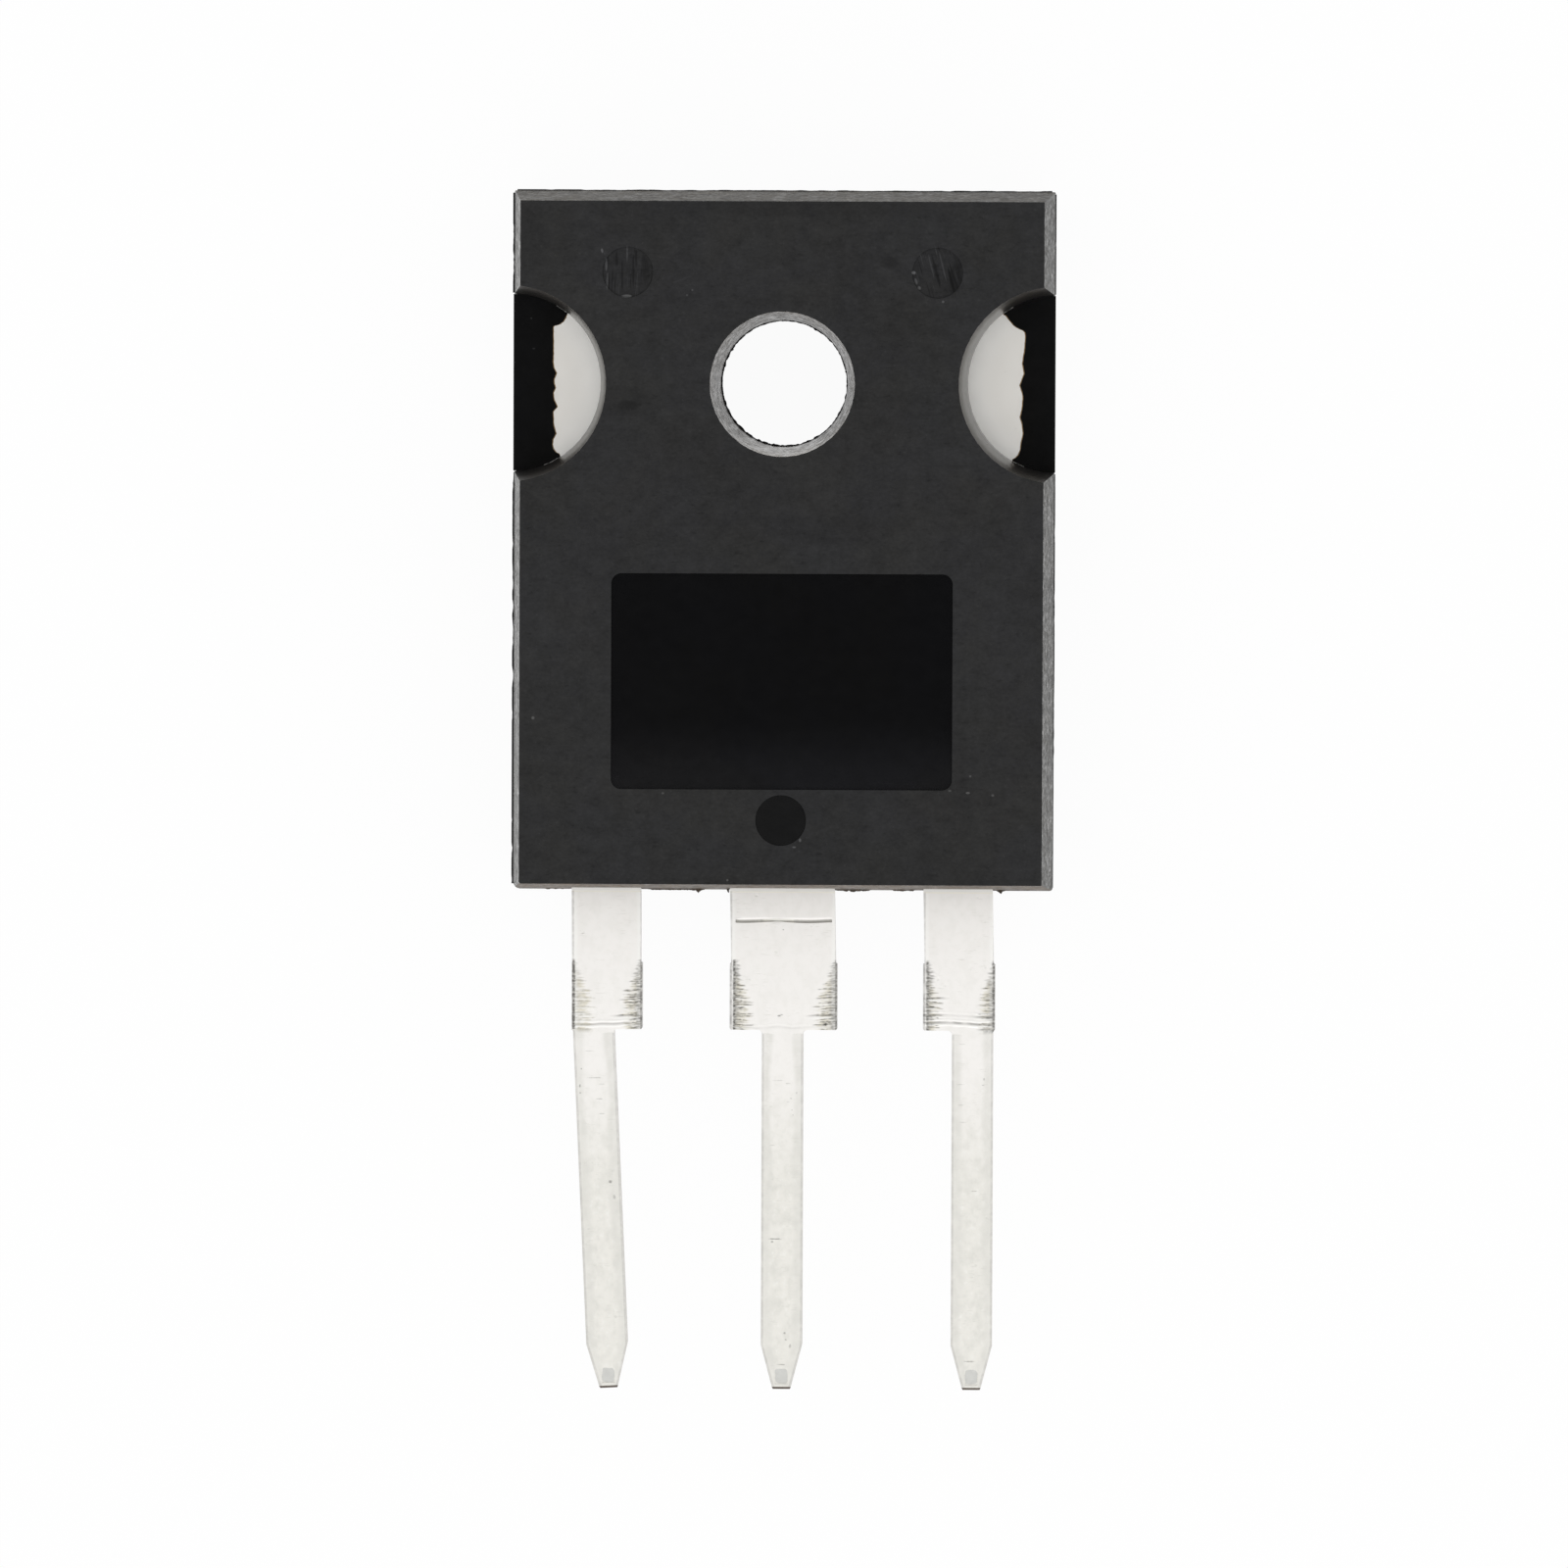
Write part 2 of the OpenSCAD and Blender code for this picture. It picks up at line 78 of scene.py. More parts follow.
class Field:  # one socket of a node tree, with sums on it written as sums
    def __init__(self, tree, socket=None):
        self.tree = tree
        self.socket = socket

    def node(self, kind, settings=None, sockets=None, out=0):
        made = self.tree.nodes.new(kind)
        for name, value in (settings or {}).items():
            setattr(made, name, value)
        for key, value in (sockets or {}).items():
            if isinstance(value, Field):
                self.tree.links.new(value.socket, made.inputs[key])
            else:
                made.inputs[key].default_value = value
        return Field(self.tree, made.outputs[out] if len(made.outputs) else None)

    def other(self, out):
        return Field(self.tree, self.socket.node.outputs[out])

    def sum(self, operation, a, b=0.0):
        return self.node("ShaderNodeMath", {"operation": operation}, {0: a, 1: b})

    def __add__(self, b):
        return self.sum("ADD", self, b)

    def __radd__(self, a):
        return self.sum("ADD", a, self)

    def __sub__(self, b):
        return self.sum("SUBTRACT", self, b)

    def __rsub__(self, a):
        return self.sum("SUBTRACT", a, self)

    def __mul__(self, b):
        return self.sum("MULTIPLY", self, b)

    def __rmul__(self, a):
        return self.sum("MULTIPLY", a, self)

    def __truediv__(self, b):
        return self.sum("DIVIDE", self, b)

    def __rtruediv__(self, a):
        return self.sum("DIVIDE", a, self)

    def __pow__(self, b):
        return self.sum("POWER", self, b)

    def __abs__(self):
        return self.sum("ABSOLUTE", self)

    def least(self, b):
        return self.sum("MINIMUM", self, b)

    def most(self, b):
        return self.sum("MAXIMUM", self, b)

    def rise(self, low, high):  # 0 below low, 1 above high, smooth between, and the other way if low > high
        return self.node("ShaderNodeMapRange", {"interpolation_type": "SMOOTHSTEP"},
                         {0: self, 1: low, 2: high, 3: 0.0, 4: 1.0})

    def axes(self):
        x = self.node("ShaderNodeSeparateXYZ", None, {0: self}, "X")
        return x, x.other("Y"), x.other("Z")

    def vector(self, operation, b=(0, 0, 0), out=0):
        return self.node("ShaderNodeVectorMath", {"operation": operation}, {0: self, 1: b}, out)

    def times(self, b):  # a vector times a number
        return self.node("ShaderNodeVectorMath", {"operation": "SCALE"}, {0: self, "Scale": b})

    def joined(self, x=0.0, y=0.0, z=0.0):
        return self.node("ShaderNodeCombineXYZ", None, {0: x, 1: y, 2: z})

    def scaled(self, size, shift):  # coordinates in which a pattern has this size, or one for each axis
        sizes = size if isinstance(size, tuple) else (size,) * 3
        return self.vector("ADD", (shift,) * 3).vector("MULTIPLY", [1 / s for s in sizes])

    def noise(self, size, shift=0.0, detail=2.0, rough=0.5):
        return self.node("ShaderNodeTexNoise", None, {"Vector": self.scaled(size, shift), "Scale": 1.0,
                                                      "Detail": detail, "Roughness": rough})

    def cells(self, size, shift=0.0):
        return self.node("ShaderNodeTexVoronoi", None, {"Vector": self.scaled(size, shift), "Scale": 1.0},
                         "Distance")

    def spot(self, place, sizes, soft=0.5, ragged=0.0):  # 1 within an ellipsoid, with a soft or ragged edge
        far = self.vector("SUBTRACT", place).vector("DIVIDE", sizes).vector("LENGTH", out="Value")
        return (far + ragged).rise(1.0, soft)

    def tint(self, factor, a, b):  # colour a turns into colour b where factor is 1
        a, b = [c if isinstance(c, Field) else (*c, 1) for c in (a, b)]
        return self.node("ShaderNodeMix", {"data_type": "RGBA"}, {0: factor, 6: a, 7: b}, 2)


def darker(colour, share):
    return [c * share for c in colour]


def newMaterial(name):
    material = bpy.data.materials.new(name)
    material.use_nodes = True
    material.node_tree.nodes.clear()
    start = Field(material.node_tree)
    return material, start, start.node("ShaderNodeTexCoord", None, None, "Object")


def finishMaterial(start, values, height=None, depth=0.0):
    if height is not None:
        values["Normal"] = start.node("ShaderNodeBump", None,
                                      {"Strength": 1.0, "Distance": depth, "Height": height})
    surface = start.node("ShaderNodeBsdfPrincipled", None, values)
    start.node("ShaderNodeOutputMaterial", None, {"Surface": surface})


def newTree(name, inputs):
    tree = bpy.data.node_groups.new(name, "GeometryNodeTree")
    tree.interface.new_socket("Geometry", in_out="INPUT", socket_type="NodeSocketGeometry")
    tree.interface.new_socket("Geometry", in_out="OUTPUT", socket_type="NodeSocketGeometry")
    for label, kind, value in inputs:
        socket = tree.interface.new_socket(label, in_out="INPUT", socket_type="NodeSocket" + kind)
        if value is not None:
            socket.default_value = value
    return tree, Field(tree).node("NodeGroupInput", None, None, "Geometry")


def endTree(geometry, material, selection=True):
    real = geometry.node("GeometryNodeRealizeInstances", None, {0: geometry})
    done = geometry.node("GeometryNodeSetMaterial", None,
                         {0: real, "Selection": selection, "Material": material})
    geometry.node("NodeGroupOutput", None, {0: done})
    return geometry.tree


def grown(piece, tree, values):  # runs the tree on the piece and keeps the result as a plain mesh
    modifier = piece.modifiers.new(tree.name, "NODES")
    modifier.node_group = tree
    for item in tree.interface.items_tree:
        if item.in_out == "INPUT" and item.name in values:
            modifier[item.identifier] = values[item.name]
    view = bpy.context.evaluated_depsgraph_get()
    mesh = bpy.data.meshes.new_from_object(piece.evaluated_get(view), preserve_all_data_layers=True,
                                           depsgraph=view)
    piece.modifiers.remove(modifier)
    piece.data = mesh
    return piece


# Meshes

meshing = {
    "mergeGap": 0.0001 * mm,
    "flatAngle": math.radians(0.1),
    "sharpAngle": math.radians(20),
    "smoothAngle": math.radians(9),
}


def nodeCopy(name):  # a merged copy of a CAD node, with its flat faces joined up
    bm = bmesh.new()
    bm.from_mesh(frame["nodes"][name].data)
    bmesh.ops.remove_doubles(bm, verts=bm.verts, dist=meshing["mergeGap"])
    bmesh.ops.dissolve_limit(bm, angle_limit=meshing["flatAngle"], verts=bm.verts, edges=bm.edges)
    return bm


def roundEdges(bm, radius, segments, picked):
    edges = [e for e in bm.edges if len(e.link_faces) == 2 and e.calc_face_angle() > meshing["sharpAngle"]
             and picked(e.verts[0].co, e.verts[1].co)]
    bmesh.ops.bevel(bm, geom=edges, offset=radius, offset_type="OFFSET", segments=segments, profile=0.5,
                    affect="EDGES", clamp_overlap=True)
    return len(edges)


def newPiece(name, bm, materials, smooth=None):
    mesh = bpy.data.meshes.new(name)
    bm.to_mesh(mesh)
    bm.free()
    for material in materials:
        mesh.materials.append(material)
    mesh.polygons.foreach_set("use_smooth", [True] * len(mesh.polygons))
    mesh.set_sharp_from_angle(angle=smooth or meshing["smoothAngle"])
    piece = bpy.data.objects.new(name, mesh)
    bpy.context.scene.collection.objects.link(piece)
    return piece


def placed(piece, slot, *nodes):
    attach(piece, "root")
    if nodes:
        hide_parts(*nodes)


# Studio: light from all sides of a white tent, apart from the opening that the camera looks through

studio = {
    "photoPixels": 1600,
    "distance": 350 * mm,
    "target": Vector((0.04, -11.625, 2.4)) * mm,
    "tiltX": math.radians(1.170),
    "tiltY": math.radians(2.416),
    "roll": math.radians(-0.215),
    "pixelsPerMm": 35.142,
    "sensor": 36.0,
    "floorSide": 1.6,
    "floorDrop": 0.01 * mm,
    "floorColour": (0.9, 0.9, 0.9),
    "floorGlow": 0.95,
    "tentColour": (1.0, 1.0, 1.0),
    "frontLean": 0.35,            # how much more light comes from the leads' side than from the hole's
    "openingColour": (0.03, 0.03, 0.03),
    "openingInner": math.radians(4.5),
    "openingOuter": math.radians(9),
}


def makeCamera():
    data = bpy.data.cameras.new("camera")
    camera = bpy.data.objects.new("camera", data)
    bpy.context.scene.collection.objects.link(camera)
    x, y = math.sin(studio["tiltX"]), math.sin(studio["tiltY"])
    back = Vector((x, y, math.sqrt(1 - x * x - y * y)))
    up = Vector((math.sin(studio["roll"]), math.cos(studio["roll"]), 0))
    up = (up - up.dot(back) * back).normalized()
    right = up.cross(back)
    turn = Matrix((right, up, back)).transposed()
    camera.matrix_world = Matrix.Translation(studio["target"] + studio["distance"] * back) @ turn.to_4x4()
    focalPixels = studio["pixelsPerMm"] / mm * studio["distance"]
    data.sensor_width = studio["sensor"]
    data.lens = focalPixels / studio["photoPixels"] * studio["sensor"]
    data.clip_start, data.clip_end = 0.01, 10
    bpy.context.scene.camera = camera


def makeWorld():
    world = bpy.data.worlds.new("lightTent")
    world.use_nodes = True
    world.node_tree.nodes.clear()
    start = Field(world.node_tree)
    x, y, z = start.node("ShaderNodeTexCoord", None, None, "Generated").axes()
    opening = z.rise(math.cos(studio["openingOuter"]), math.cos(studio["openingInner"]))
    colour = start.tint(opening, studio["tentColour"], studio["openingColour"])
    strength = 1 - studio["frontLean"] * y
    light = start.node("ShaderNodeBackground", None, {"Color": colour, "Strength": strength})
    start.node("ShaderNodeOutputWorld", None, {"Surface": light})
    bpy.context.scene.world = world


def makeFloor():
    material, start, at = newMaterial("paleFloor")
    seen = start.node("ShaderNodeLightPath", None, None, "Is Camera Ray")
    plain = seen.most(seen.other("Is Glossy Ray")).most(seen.other("Is Transmission Ray"))
    paper = start.node("ShaderNodeBsdfDiffuse", None, {"Color": (*studio["floorColour"], 1)})
    glow = start.node("ShaderNodeEmission", None, {"Color": (1, 1, 1, 1), "Strength": 1.0})
    above = start.node("ShaderNodeMixShader", None, {0: plain * studio["floorGlow"], 1: paper, 2: glow})
    below = start.node("ShaderNodeBsdfTransparent")
    under = start.node("ShaderNodeNewGeometry", None, None, "Backfacing")
    both = start.node("ShaderNodeMixShader", None, {0: under, 1: above, 2: below})
    start.node("ShaderNodeOutputMaterial", None, {"Surface": both})
    bm = bmesh.new()
    bmesh.ops.create_grid(bm, x_segments=1, y_segments=1, size=studio["floorSide"] / 2,
                          matrix=Matrix.Translation((0, 0, cadBox[0].z - studio["floorDrop"])))
    newPiece("studioFloor", bm, [material])


scene = bpy.context.scene
scene.view_settings.view_transform = "Standard"
makeCamera()
makeWorld()
makeFloor()
print("studio: camera, light tent and floor")


# Moulding compound

moulding = {
    "leftInset": (0.05 * mm, -0.02 * mm),      # at the parting line and at the front
    "rightInset": (0.025 * mm, 0.006 * mm),
    "endInset": 0.035 * mm,
    "leadEndLift": 0.03 * mm,
    "wallReach": 0.6 * mm,      # within this of a side or an end, a point belongs to its wall
    "near": 0.01 * mm,
    "edgeRadius": 0.05 * mm,
    "rimRadius": 0.035 * mm,
    "holeCorners": 0.035 * mm,
    "leadCorners": (0.2 * mm, 0.09 * mm),      # left and right
    "frontCorner": 0.35,
    "panelRadius": 0.022 * mm,
    "panelGrowth": (0.036 * mm, 0.062 * mm, 0.019 * mm, 0.058 * mm),      # left, right, low, high
    "panelHalf": (4.87 * mm, 3.075 * mm),
    "panelY": -8.59 * mm,
    "panelRim": 0.03 * mm,
    "deepest": 0.3 * mm,      # no mark on the front is deeper
    "markRadius": 0.73 * mm,
    "dotPlace": (0, leadEnd + 2.13 * mm),
    "pinPlace": (4.46 * mm, holeEnd - 2.39 * mm),
    "mouthRadius": 2.09 * mm,
    "boreGrowth": (0.055 * mm, 0.03 * mm),      # at the back and at the parting line
    "boreShift": 0.01 * mm,
    "notchX": halfWidth + 0.03 * mm,
    "notchFloor": 2.53 * mm,
    "notchFront": 2.83 * mm,
    "notchGrowth": 0.045 * mm,
    "scratchTurns": (2.0, -16.0),      # of the scratches in the left and the right pin mark
}


def mouldMaterial(name, tone, roughness, grain, specular=0.25, mottle=1.0, hue=(1.0, 1.0, 1.0), scratches=0.0,
                  scratchReach=1.0, marks=(), worn=(), drift=(), flecks=0.0, speckle=0.0):
    material, start, at = newMaterial(name)
    x, y, z = at.axes()
    axes = {"x": x, "y": y, "z": z}
    cloud = at.noise(2.4 * mm, 0.011, 3)
    patch = at.noise((0.5 * mm, 0.4 * mm, 0.4 * mm), 0.023, 3, 0.55)
    fleck = at.noise((0.26 * mm, 0.12 * mm, 0.2 * mm), 0.043, 2).rise(0.6, 0.72)
    fine = at.noise((0.13 * mm, 0.1 * mm, 0.1 * mm), 0.003, 3, 0.65)
    light = at.noise(0.1 * mm, 0.037, 1).rise(0.66, 0.76)
    shade = 1 + mottle * (0.4 * (cloud - 0.5) + 0.85 * (patch - 0.5) + 0.75 * (fine - 0.5) - 0.2 * fleck
                          + 0.25 * light)
    height = fine + 0.6 * at.noise(0.22 * mm, 0.07, 2)
    ragged = at.noise(0.16 * mm, 0.009, 2) - 0.5
    for turn, side in zip(moulding["scratchTurns"], (-1, 1)) if scratches else ():
        pinX, pinY = side * moulding["pinPlace"][0], moulding["pinPlace"][1]
        turned = at.node("ShaderNodeVectorRotate", {"rotation_type": "Z_AXIS"},
                         {0: at, "Center": (pinX, pinY, 0), "Angle": math.radians(turn)})
        hair = turned.noise((0.05 * mm, 1.5 * mm, 9 * mm), 0.013, 2, 0.6)
        here = at.spot((pinX, pinY, frontZ), (scratchReach * mm,) * 3, 0.75)
        kept = here * at.noise((0.3 * mm, 0.7 * mm, 1 * mm), 0.083, 2).rise(0.38, 0.6)
        shade = shade * (1 - 0.8 * kept * (scratches * hair.rise(0.45, 0.33)).least(1.0))
        shade = shade + kept * scratches * 1.6 * hair.rise(0.6, 0.7)
        height = height + here * 2 * hair
    for markX, markY, wide, long, turn, amount in marks:
        cos, sin = math.cos(math.radians(turn)), math.sin(math.radians(turn))
        fromX, fromY = x - markX * mm, y - markY * mm
        across = (fromX * cos + fromY * sin) / (wide * mm)
        along = (fromY * cos - fromX * sin) / (long * mm)
        mark = (across * across + along * along + 1.2 * ragged).rise(1.2, 0.3)
        shade = shade + amount * mark if amount > 0 else shade * (1 + amount * mark)
    if flecks:
        shade = shade + flecks * at.noise((0.13 * mm, 0.09 * mm, 0.1 * mm), 0.057, 2).rise(0.58, 0.72)
    for axis, low, high, more in drift:
        shade = shade * (1 + more * axes[axis].rise(low * mm, high * mm))
    warm = start.tint(at.noise(1.8 * mm, 0.05, 2).rise(0.35, 0.65), (1.01, 1.0, 0.985), (0.985, 0.99, 1.035))
    grey = start.node("ShaderNodeCombineColor", None, {i: tone * shade * hue[i] for i in range(3)})
    colour = start.node("ShaderNodeMix", {"data_type": "RGBA", "blend_type": "MULTIPLY"},
                        {0: 1.0, 6: grey, 7: warm}, 2)
    rough = roughness * (1 + 0.12 * (cloud - 0.5) + 0.2 * (patch - 0.5))
    if speckle:
        blotch = at.noise(0.3 * mm, 0.047, 2) - 0.5
        rough = rough + speckle * (at.noise(0.1 * mm, 0.029, 2) + 0.8 * blotch - 0.5)
    for axis, low, high, more in worn:
        rough = rough + more * axes[axis].rise(low * mm, high * mm)
    finishMaterial(start, {"Base Color": colour, "Roughness": rough, "Specular IOR Level": specular},
                   height, grain * mm)
    return material


# Marks on the front, in millimetres: place, half width, half length, turn in degrees, and how much paler or
# darker than the compound they are
pinMarks = [
    (-5.08, 3.42, 0.035, 0.2, 0, 2.2), (-5.05, 2.95, 0.03, 0.26, -2, 1.8),
    (-5.2, 3.82, 0.035, 0.07, 10, 3.0), (-4.48, 3.72, 0.03, 0.26, 0, 1.4),
    (-4.3, 3.25, 0.04, 0.5, 0, -0.55), (-4.78, 3.6, 0.05, 0.24, 0, -0.5),
    (-4.22, 3.58, 0.04, 0.28, 0, -0.5), (-4.62, 3.1, 0.035, 0.5, 0, -0.5),
    (-3.95, 3.3, 0.12, 0.5, 5, -0.35), (-4.5, 2.52, 0.16, 0.045, 0, 4.0),
    (4.27, 3.42, 0.025, 0.36, 14, 0.9), (4.6, 3.42, 0.028, 0.5, 14, 1.1), (4.4, 3.3, 0.05, 0.5, 15, -0.6),
    (4.85, 3.0, 0.05, 0.45, 15, -0.8), (4.98, 3.1, 0.2, 0.5, -8, -0.5), (3.77, 3.22, 0.06, 0.05, 0, 5.0),
    (3.84, 2.97, 0.04, 0.1, 20, 2.6), (3.93, 2.78, 0.05, 0.06, 30, 3.6), (4.62, 2.39, 0.04, 0.04, 0, 2.5),
    (3.1, 3.5, 0.3, 0.2, 0, -0.25),
]
# Painted shade for shallow dents in the front, which are not modelled: these marks only darken the colour
dentShade = [
    (-4.44, -0.62, 0.34, 0.15, 0, -0.42), (-4.6, -0.5, 0.9, 0.5, 0, -0.15), (0.5, 5.1, 4.5, 0.3, 0, -0.15),
    (-7.2, 4.3, 0.5, 1.2, 0, -0.1), (1.6, -4.2, 1.8, 0.5, 0, -0.12),
]
specks = [
    (-7.15, -9.64, 0.05, 0.05, 0, 3.0), (-1.53, -14.3, 0.04, 0.04, 0, 3.0),
    (0.56, -13.14, 0.04, 0.06, 0, 3.0), (0.39, -13.34, 0.06, 0.03, 0, 3.0),
    (5.46, -11.27, 0.04, 0.04, 0, 2.5), (5.39, -11.75, 0.07, 0.035, 0, 3.0),
    (6.11, -11.82, 0.05, 0.04, 0, 2.5), (4.87, -11.69, 0.06, 0.04, 0, 2.0),
    (-3.4, -11.8, 0.04, 0.03, 0, 2.0), (-2.9, 3.0, 0.3, 0.04, 20, 0.35), (-2.6, 2.7, 0.03, 0.03, 0, 2.0),
    (-2.75, 2.55, 0.03, 0.03, 0, 1.6),
]
chips = [(-3.7, 0.06), (-3.3, 0.03), (0.4, 0.04), (3.9, 0.03), (5.99, 0.06), (6.19, 0.09), (6.56, 0.06),
         (7.02, 0.05), (7.27, 0.07)]
rimChips = [(x, 5.255, width, 0.07, 0, 6.0) for x, width in chips]

# Each finish: how bright and rough the compound is, how deep its grain in millimetres, and what else it shows
mouldFinishes = {
    "mattMoulding": (0.0195, 0.62, 0.004, {"specular": 0.16, "mottle": 1.2, "scratches": 0.3,
                                           "marks": dentShade + pinMarks + specks}),
    "draftWall": (0.035, 0.38, 0.006, {"specular": 0.56, "mottle": 2.6, "hue": (1.05, 1.03, 0.9),
                                       "flecks": 2.2, "speckle": 0.9, "worn": [("x", 6, 7, 0.11)]}),
    "polishedPanel": (0.0039, 0.1, 0.0002, {"specular": 0.4, "mottle": 0.5, "hue": (0.98, 0.98, 1.06),
                                            "drift": [("y", -9.5, -11.6, 1.5)]}),
    # notchWall: its drift along z paints shade that deepens towards the notch floor
    "notchWall": (0.0065, 0.3, 0.0012, {"specular": 0.15, "hue": (1.12, 1.0, 0.86), "speckle": 0.08,
                                        "worn": [("z", 3.6, 4.9, 0.13)], "drift": [("z", 2.3, 5.4, 4.2)]}),
    # boreWall: its drifts paint light on the bore's lower side and near its mouth, and leave shade deeper
    # down
    "boreWall": (0.062, 0.36, 0.005, {"specular": 0.55, "mottle": 2.2, "hue": (1.14, 1.0, 0.82),
                                      "flecks": 0.8, "speckle": 0.6, "worn": [("y", -1.2, -2.0, -0.09)],
                                      "drift": [("y", -1.2, -2.1, 1.3), ("z", 4.6, 4.95, 0.6)]}),
    "pinMark": (0.0168, 0.52, 0.0012, {"specular": 0.14, "mottle": 1.4, "scratches": 1.0, "scratchReach": 4,
                                       "marks": pinMarks}),
    "roundMark": (0.0045, 0.2, 0.0006, {"specular": 0.22, "mottle": 0.6}),
    "leadEndWall": (0.062, 0.52, 0.004, {"specular": 0.38, "mottle": 2.6, "hue": (1.25, 0.9, 0.58),
                                         "flecks": 1.2, "speckle": 0.5, "drift": [("z", 3.4, 2.5, -0.35)]}),
    # Painted highlight on the rounded rim of the marking panel
    "panelRimHighlight": (0.055, 0.55, 0.002, {"mottle": 2.4}),
    # Painted highlight along the rounded front edges, with real pale chips (rimChips) on the rim
    "chippedEdgeHighlight": (0.05, 0.6, 0.003, {"specular": 0.2, "mottle": 3.2, "hue": (0.98, 0.95, 1.08), "flecks": 3.0,
                                    "marks": rimChips}),
    "holeEndWall": (0.038, 0.57, 0.004, {"specular": 0.48, "mottle": 2.4, "hue": (1.14, 1.0, 0.76),
                                         "flecks": 1.3, "speckle": 0.6}),
}


def atSide(p):
    return abs(p.x) > halfWidth - moulding["wallReach"]


def atHoleEnd(p):
    return p.y > holeEnd - moulding["wallReach"]


def atLeadEnd(p):
    return p.y < leadEnd + moulding["wallReach"]


def onFront(p):
    return p.z > frontZ - moulding["near"]


def onPanel(p):
    panelX, panelY = moulding["panelHalf"]
    return (abs(p.x) < panelX + moulding["near"] and abs(p.y - moulding["panelY"]) < panelY + moulding["near"]
            and p.z > frontZ - moulding["deepest"])


def inMark(p, mark, reach):
    x, y = moulding[mark + "Place"]
    return math.hypot(abs(p.x) - x, p.y - y) < reach


def mouldFace(face):  # which finish a face of the moulding has
    centre, normal = face.calc_center_median(), face.normal
    sunk = frontZ - centre.z
    isMark = 0.001 * mm < sunk < moulding["deepest"]
    isRounded = 0.2 < normal.z < 0.98
    panelX, panelY = moulding["panelHalf"]
    left, right, low, high = moulding["panelGrowth"]
    over = max(centre.x - panelX - right, -centre.x - panelX - left,
               centre.y - moulding["panelY"] - panelY - high, moulding["panelY"] - centre.y - panelY - low)
    # the panel's rounded rim gets a painted highlight
    if over < moulding["panelRim"] and sunk < 0.1 * mm and isRounded:
        return "panelRimHighlight" if over > -0.012 * mm else "polishedPanel"
    if over < 0 and isMark:
        return "polishedPanel"
    reach = moulding["markRadius"] * 1.02
    if isMark and inMark(centre, "dot", reach):
        return "roundMark"
    if isMark and inMark(centre, "pin", reach):
        return "pinMark"
    if math.hypot(centre.x, centre.y) < moulding["mouthRadius"] + 0.04 * mm and normal.z < 0.9:
        return "boreWall" if centre.z > partingZ else "mattMoulding"
    fromNotch = math.hypot(abs(centre.x) - moulding["notchX"], centre.y)
    if fromNotch < moulding["notchFront"] + 0.03 * mm and sunk > moulding["near"]:
        return "notchWall"
    # the rounded front edges get a painted highlight and their real chips
    if sunk < 0.06 * mm and isRounded and (atSide(centre) or atHoleEnd(centre)):
        return "chippedEdgeHighlight"
    if normal.y < -0.8 and atLeadEnd(centre):
        return "leadEndWall"
    if normal.y > 0.6 and atHoleEnd(centre):
        return "holeEndWall"
    return "mattMoulding" if normal.z > 0.9 else "draftWall"


def fitMoulding(bm):  # the parting line gives way to the flash, and the bore and notches are a little wider
    for v in bm.verts:
        height = max(0.0, (v.co.z - partingZ) / (frontZ - partingZ))
        if atSide(v.co):
            parting, front = moulding["leftInset" if v.co.x < 0 else "rightInset"]
            v.co.x -= math.copysign(1, v.co.x) * (parting + (front - parting) * height)
        if atHoleEnd(v.co):
            v.co.y -= moulding["endInset"]
        if atLeadEnd(v.co) and height > 0.9:
            v.co.y -= moulding["leadEndLift"]
        fromBore = math.hypot(v.co.x, v.co.y)
        if abs(fromBore - boreRadius) < 2 * moulding["near"]:
            wider = 1 + moulding["boreGrowth"][0 if v.co.z < partingZ / 2 else 1] / fromBore
            v.co.x, v.co.y = v.co.x * wider + moulding["boreShift"], v.co.y * wider
        notchX = math.copysign(moulding["notchX"], v.co.x)
        fromNotch = math.hypot(v.co.x - notchX, v.co.y)
        if abs(fromNotch - moulding["notchFloor"]) < 2 * moulding["near"] and v.co.z < partingZ:
            wider = 1 + moulding["notchGrowth"] / fromNotch
            v.co.x, v.co.y = notchX + (v.co.x - notchX) * wider, v.co.y * wider


